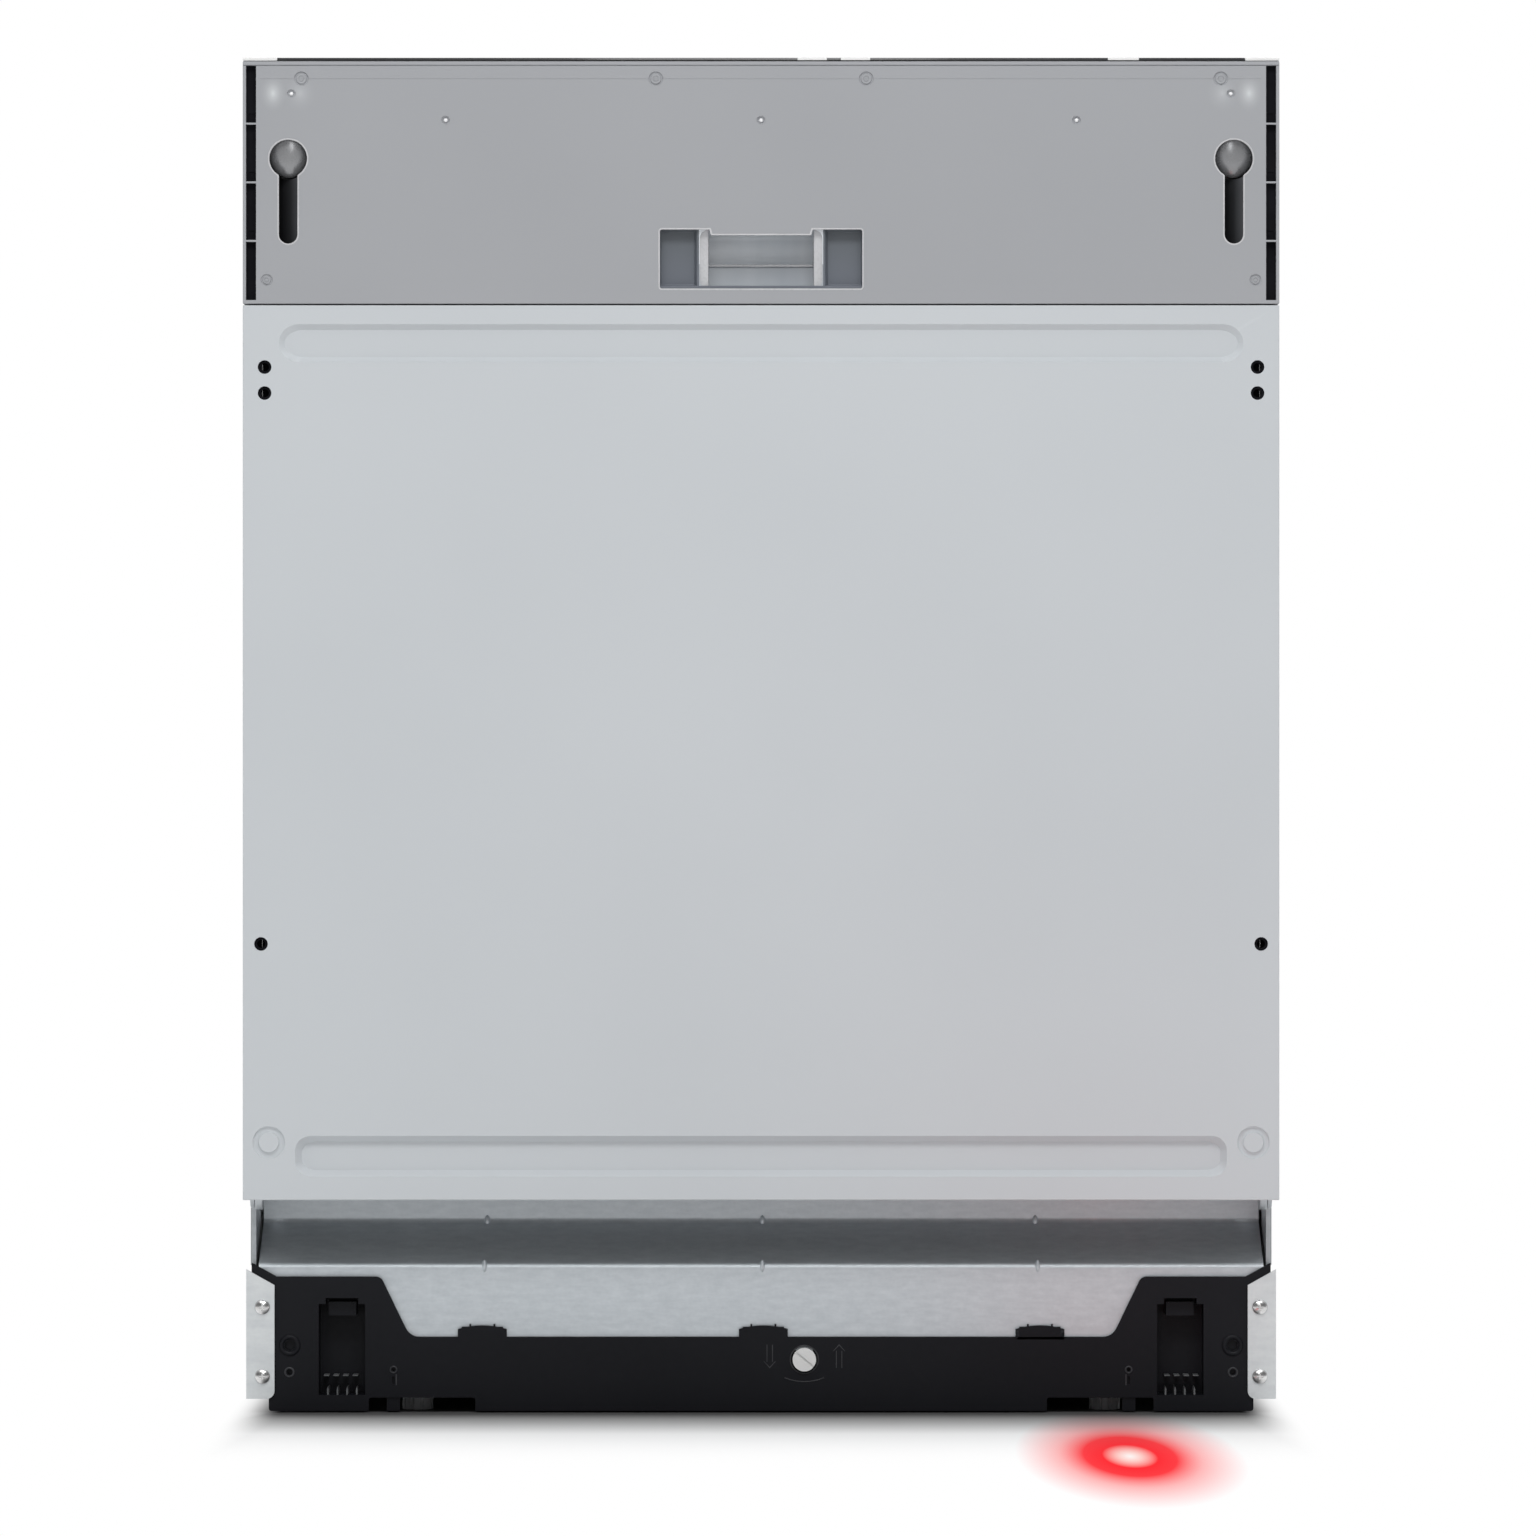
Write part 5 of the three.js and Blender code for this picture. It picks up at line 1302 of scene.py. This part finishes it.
(_, deck_y0, deck_z0), (deck_x, deck_y1, deck_top) = corners("upper_rack")
deck_side, deck_knee, deck_floor, deck_rim = 250, 470, deck_z0 + 5, deck_top - 3
deck_y0, deck_y1 = deck_y0 + 3, deck_y1 - 3
hoop = mirrored([(-deck_side, deck_rim), (-deck_side, deck_knee), (24 - deck_side, deck_floor)])
hoop = wire("hoop", [(x, deck_y0 + 20, z) for x, z in hoop], 3, bend=10)
long_wire = [(deck_y0, deck_rim), (deck_y0 + 12, deck_floor), (deck_y1 - 12, deck_floor), (deck_y1, deck_rim)]
long_wire = wire("long", [(-225, y, z) for y, z in long_wire], 3, bend=10)
pieces = [repeat(hoop, 15, row), repeat(long_wire, 13, (37.5, 0, 0))]
pieces += [loop(deck_side, deck_y0, deck_y1, z, gauge) for z, gauge in ((deck_rim, 4.6), (deck_rim - 34, 3.4))]
for x in (-187.5, -112.5, -37.5, 37.5, 112.5, 187.5):
    tine = [(x + u, deck_y0 + 26, z) for u, z in ((0, deck_floor), (0, 465), (8, 490))]
    tine = wire("tine", tine, 3, bend=5)
    pieces.append(repeat(tine, 14, row))
upper_rack = gather("upper_rack_wires", *pieces)
finished(smooth(upper_rack, 60), coated_wire, "upper_rack", "coated_wire", "upper_rack")
for side, s in (("left", -1), ("right", 1)):
    edges = span(s, deck_side + 0.5, deck_x - 0.5)
    runner = block(f"rack_runner_{side}", *edges, deck_y0 + 12, deck_y1 - 12, 478.5, 485.5)
    finished(smooth(soften(runner, 1.5, 3)), stainless, "upper_rack", "stainless")
feed = rod("rack_feed_pipe", "y", 0, 121, deck_floor + 8, 8, 196, 40)
weld(feed, ball("elbow", 0, 22, deck_floor + 6, 12, 12, 9, 32))
finished(smooth(soften(feed, 1.0)), grey_plastic, "upper_rack", "grey_plastic")

# Cutlery basket: a moulded lattice with two inner walls and a carrying arch.
(bx0, by0, bz0), (bx1, by1, bz1) = corners("cutlery_basket")
basket_rim = bz1 - 24
basket = block("cutlery_holder", bx0, bx1, by0, by1, bz0, basket_rim)
choose(basket, "FACE", lambda middle, normal: normal.z > 0.9)
bpy.ops.mesh.inset(thickness=2.4 * MM)
bpy.ops.mesh.extrude_region_move(TRANSFORM_OT_translate={"value": (0, 0, -(basket_rim - bz0 - 2.4) * MM)})
basket = done()
across, along_y, up = (12, 0, 0), (0, 11.7, 0), (0, 0, 20)
sides = repeat(block("cell", bx0 - 2, bx1 + 2, by0 + 6, by0 + 14, bz0 + 6, bz0 + 20), 18, along_y)
ends = repeat(block("cell", bx0 + 6, bx0 + 14, by0 - 2, by1 + 2, bz0 + 6, bz0 + 20), 6, across)
base = repeat(block("cell", bx0 + 6, bx0 + 14, by0 + 6, by0 + 14, bz0 - 1, bz0 + 5), 6, across)
carve(basket, repeat(sides, 4, up), repeat(ends, 4, up), repeat(base, 18, along_y))
middle_x = (bx0 + bx1) / 2
walls = [block("wall", bx0 + 1, bx1 - 1, y - 1, y + 1, bz0 + 1, basket_rim - 6) for y in (by0 + 73, by0 + 147)]
walls.append(block("wall", middle_x - 1, middle_x + 1, by0 + 1, by1 - 1, bz0 + 1, basket_rim - 12))
arch = [(by0 + 50, basket_rim - 20), (by0 + 60, bz1 - 5), (by1 - 60, bz1 - 5), (by1 - 50, basket_rim - 20)]
grip = wire("arch", [(middle_x, y, z) for y, z in arch], 7, bend=16)
basket = gather("cutlery_holder", soften(basket, 0.5), *walls, grip)
finished(smooth(basket), grey_plastic, "lower_rack", "grey_plastic", "cutlery_basket")

# ---------------------------------------------------------------- outer casing
# Thin galvanised panels clad the sides, back and top. Long ribs are pressed into them so that they don't drum.
casing_zinc = zinc_finish("casing_zinc", (0.42, 0.44, 0.455), (0.51, 0.53, 0.545), 0.36, 70.0)


def bar_tool(box, r):
    """A rounded bar for pressing a rib, narrower at its far side."""
    tool = block("rib", *box)
    thin = min(range(3), key=lambda i: box[2 * i + 1] - box[2 * i])
    round_edges(tool, along("xyz"[thin]), r, 8)
    centre = [(box[2 * i] + box[2 * i + 1]) / 2 for i in range(3)]
    lengths = [box[2 * i + 1] - box[2 * i] for i in range(3)]
    size = [(length - 7) / length if i != thin else 1 for i, length in enumerate(lengths)]
    choose(tool, "FACE", lambda middle, normal: abs(normal[thin]) > 0.9 and abs(middle[thin]) < abs(centre[thin]))
    bpy.ops.transform.resize(value=size, center_override=[c * MM for c in centre])
    return done()


(_, panel_y0, panel_z0), (side_out, panel_y1, panel_z1) = corners("side_panel_right")
for side, s in (("left", -1), ("right", 1)):
    edges = span(s, side_out - 4.5, side_out)
    panel = block(f"casing_{side}", *edges, panel_y0 + 2, panel_y1, panel_z0, panel_z1)
    edges = span(s, side_out - 2.6, side_out + 1)
    for y in (panel_y0 + 90, panel_y0 + 190, panel_y0 + 290, panel_y0 + 390):
        carve(panel, bar_tool([*edges, y - 14, y + 14, panel_z0 + 90, panel_z1 - 70], 13.9))
    edges = span(s, side_out - 1.2, side_out)
    weld(panel, block("lip", *edges, panel_y0, panel_y0 + 3, panel_z0, panel_z1))
    for z in (panel_z0 + 25, panel_z1 - 25):
        for y in (panel_y0 + 20, panel_y1 - 20):
            weld(panel, ball("rivet", s * (side_out - 0.2), y, z, 0.7, 3.6, 3.6, 24))
    finished(smooth(soften(panel, 0.6, 3, 20), 50), casing_zinc, "cabinet", "galvanised", f"side_panel_{side}")

(_, _, rear_z0), (rear_x, rear_y, rear_z1) = corners("rear_panel")
rear = block("casing_rear", -rear_x, rear_x, rear_y - 4.5, rear_y, rear_z0, rear_z1)
for z in (rear_z0 + 110, rear_z0 + 318, rear_z1 - 110):
    carve(rear, bar_tool([-rear_x + 60, rear_x - 60, rear_y - 2.8, rear_y + 1, z - 17, z + 17], 16.9))
for x in (-rear_x + 18, 0, rear_x - 18):
    for z in (rear_z0 + 14, rear_z1 - 14):
        weld(rear, ball("rivet", x, rear_y - 0.8, z, 4, 0.7, 4, 24))
finished(smooth(soften(rear, 0.6, 3, 20), 50), casing_zinc, "cabinet", "galvanised", "rear_panel")

(_, top_y0, _), (top_x, top_y1, top_z) = corners("top_panel")
lid = block("casing_top", -top_x, top_x, top_y0 + 1, top_y1, top_z - 4.5, top_z)
for x in (-170, 0, 170):
    carve(lid, bar_tool([x - 18, x + 18, top_y0 + 60, top_y1 - 50, top_z - 2.8, top_z + 1], 17.9))
finished(smooth(soften(lid, 0.6, 3, 20), 50), casing_zinc, "cabinet", "galvanised", "top_panel")
rounded_copy("water_inlet_valve", white_plastic, 1.5)
rounded_copy("cable_gland", black_plastic, 1.2)
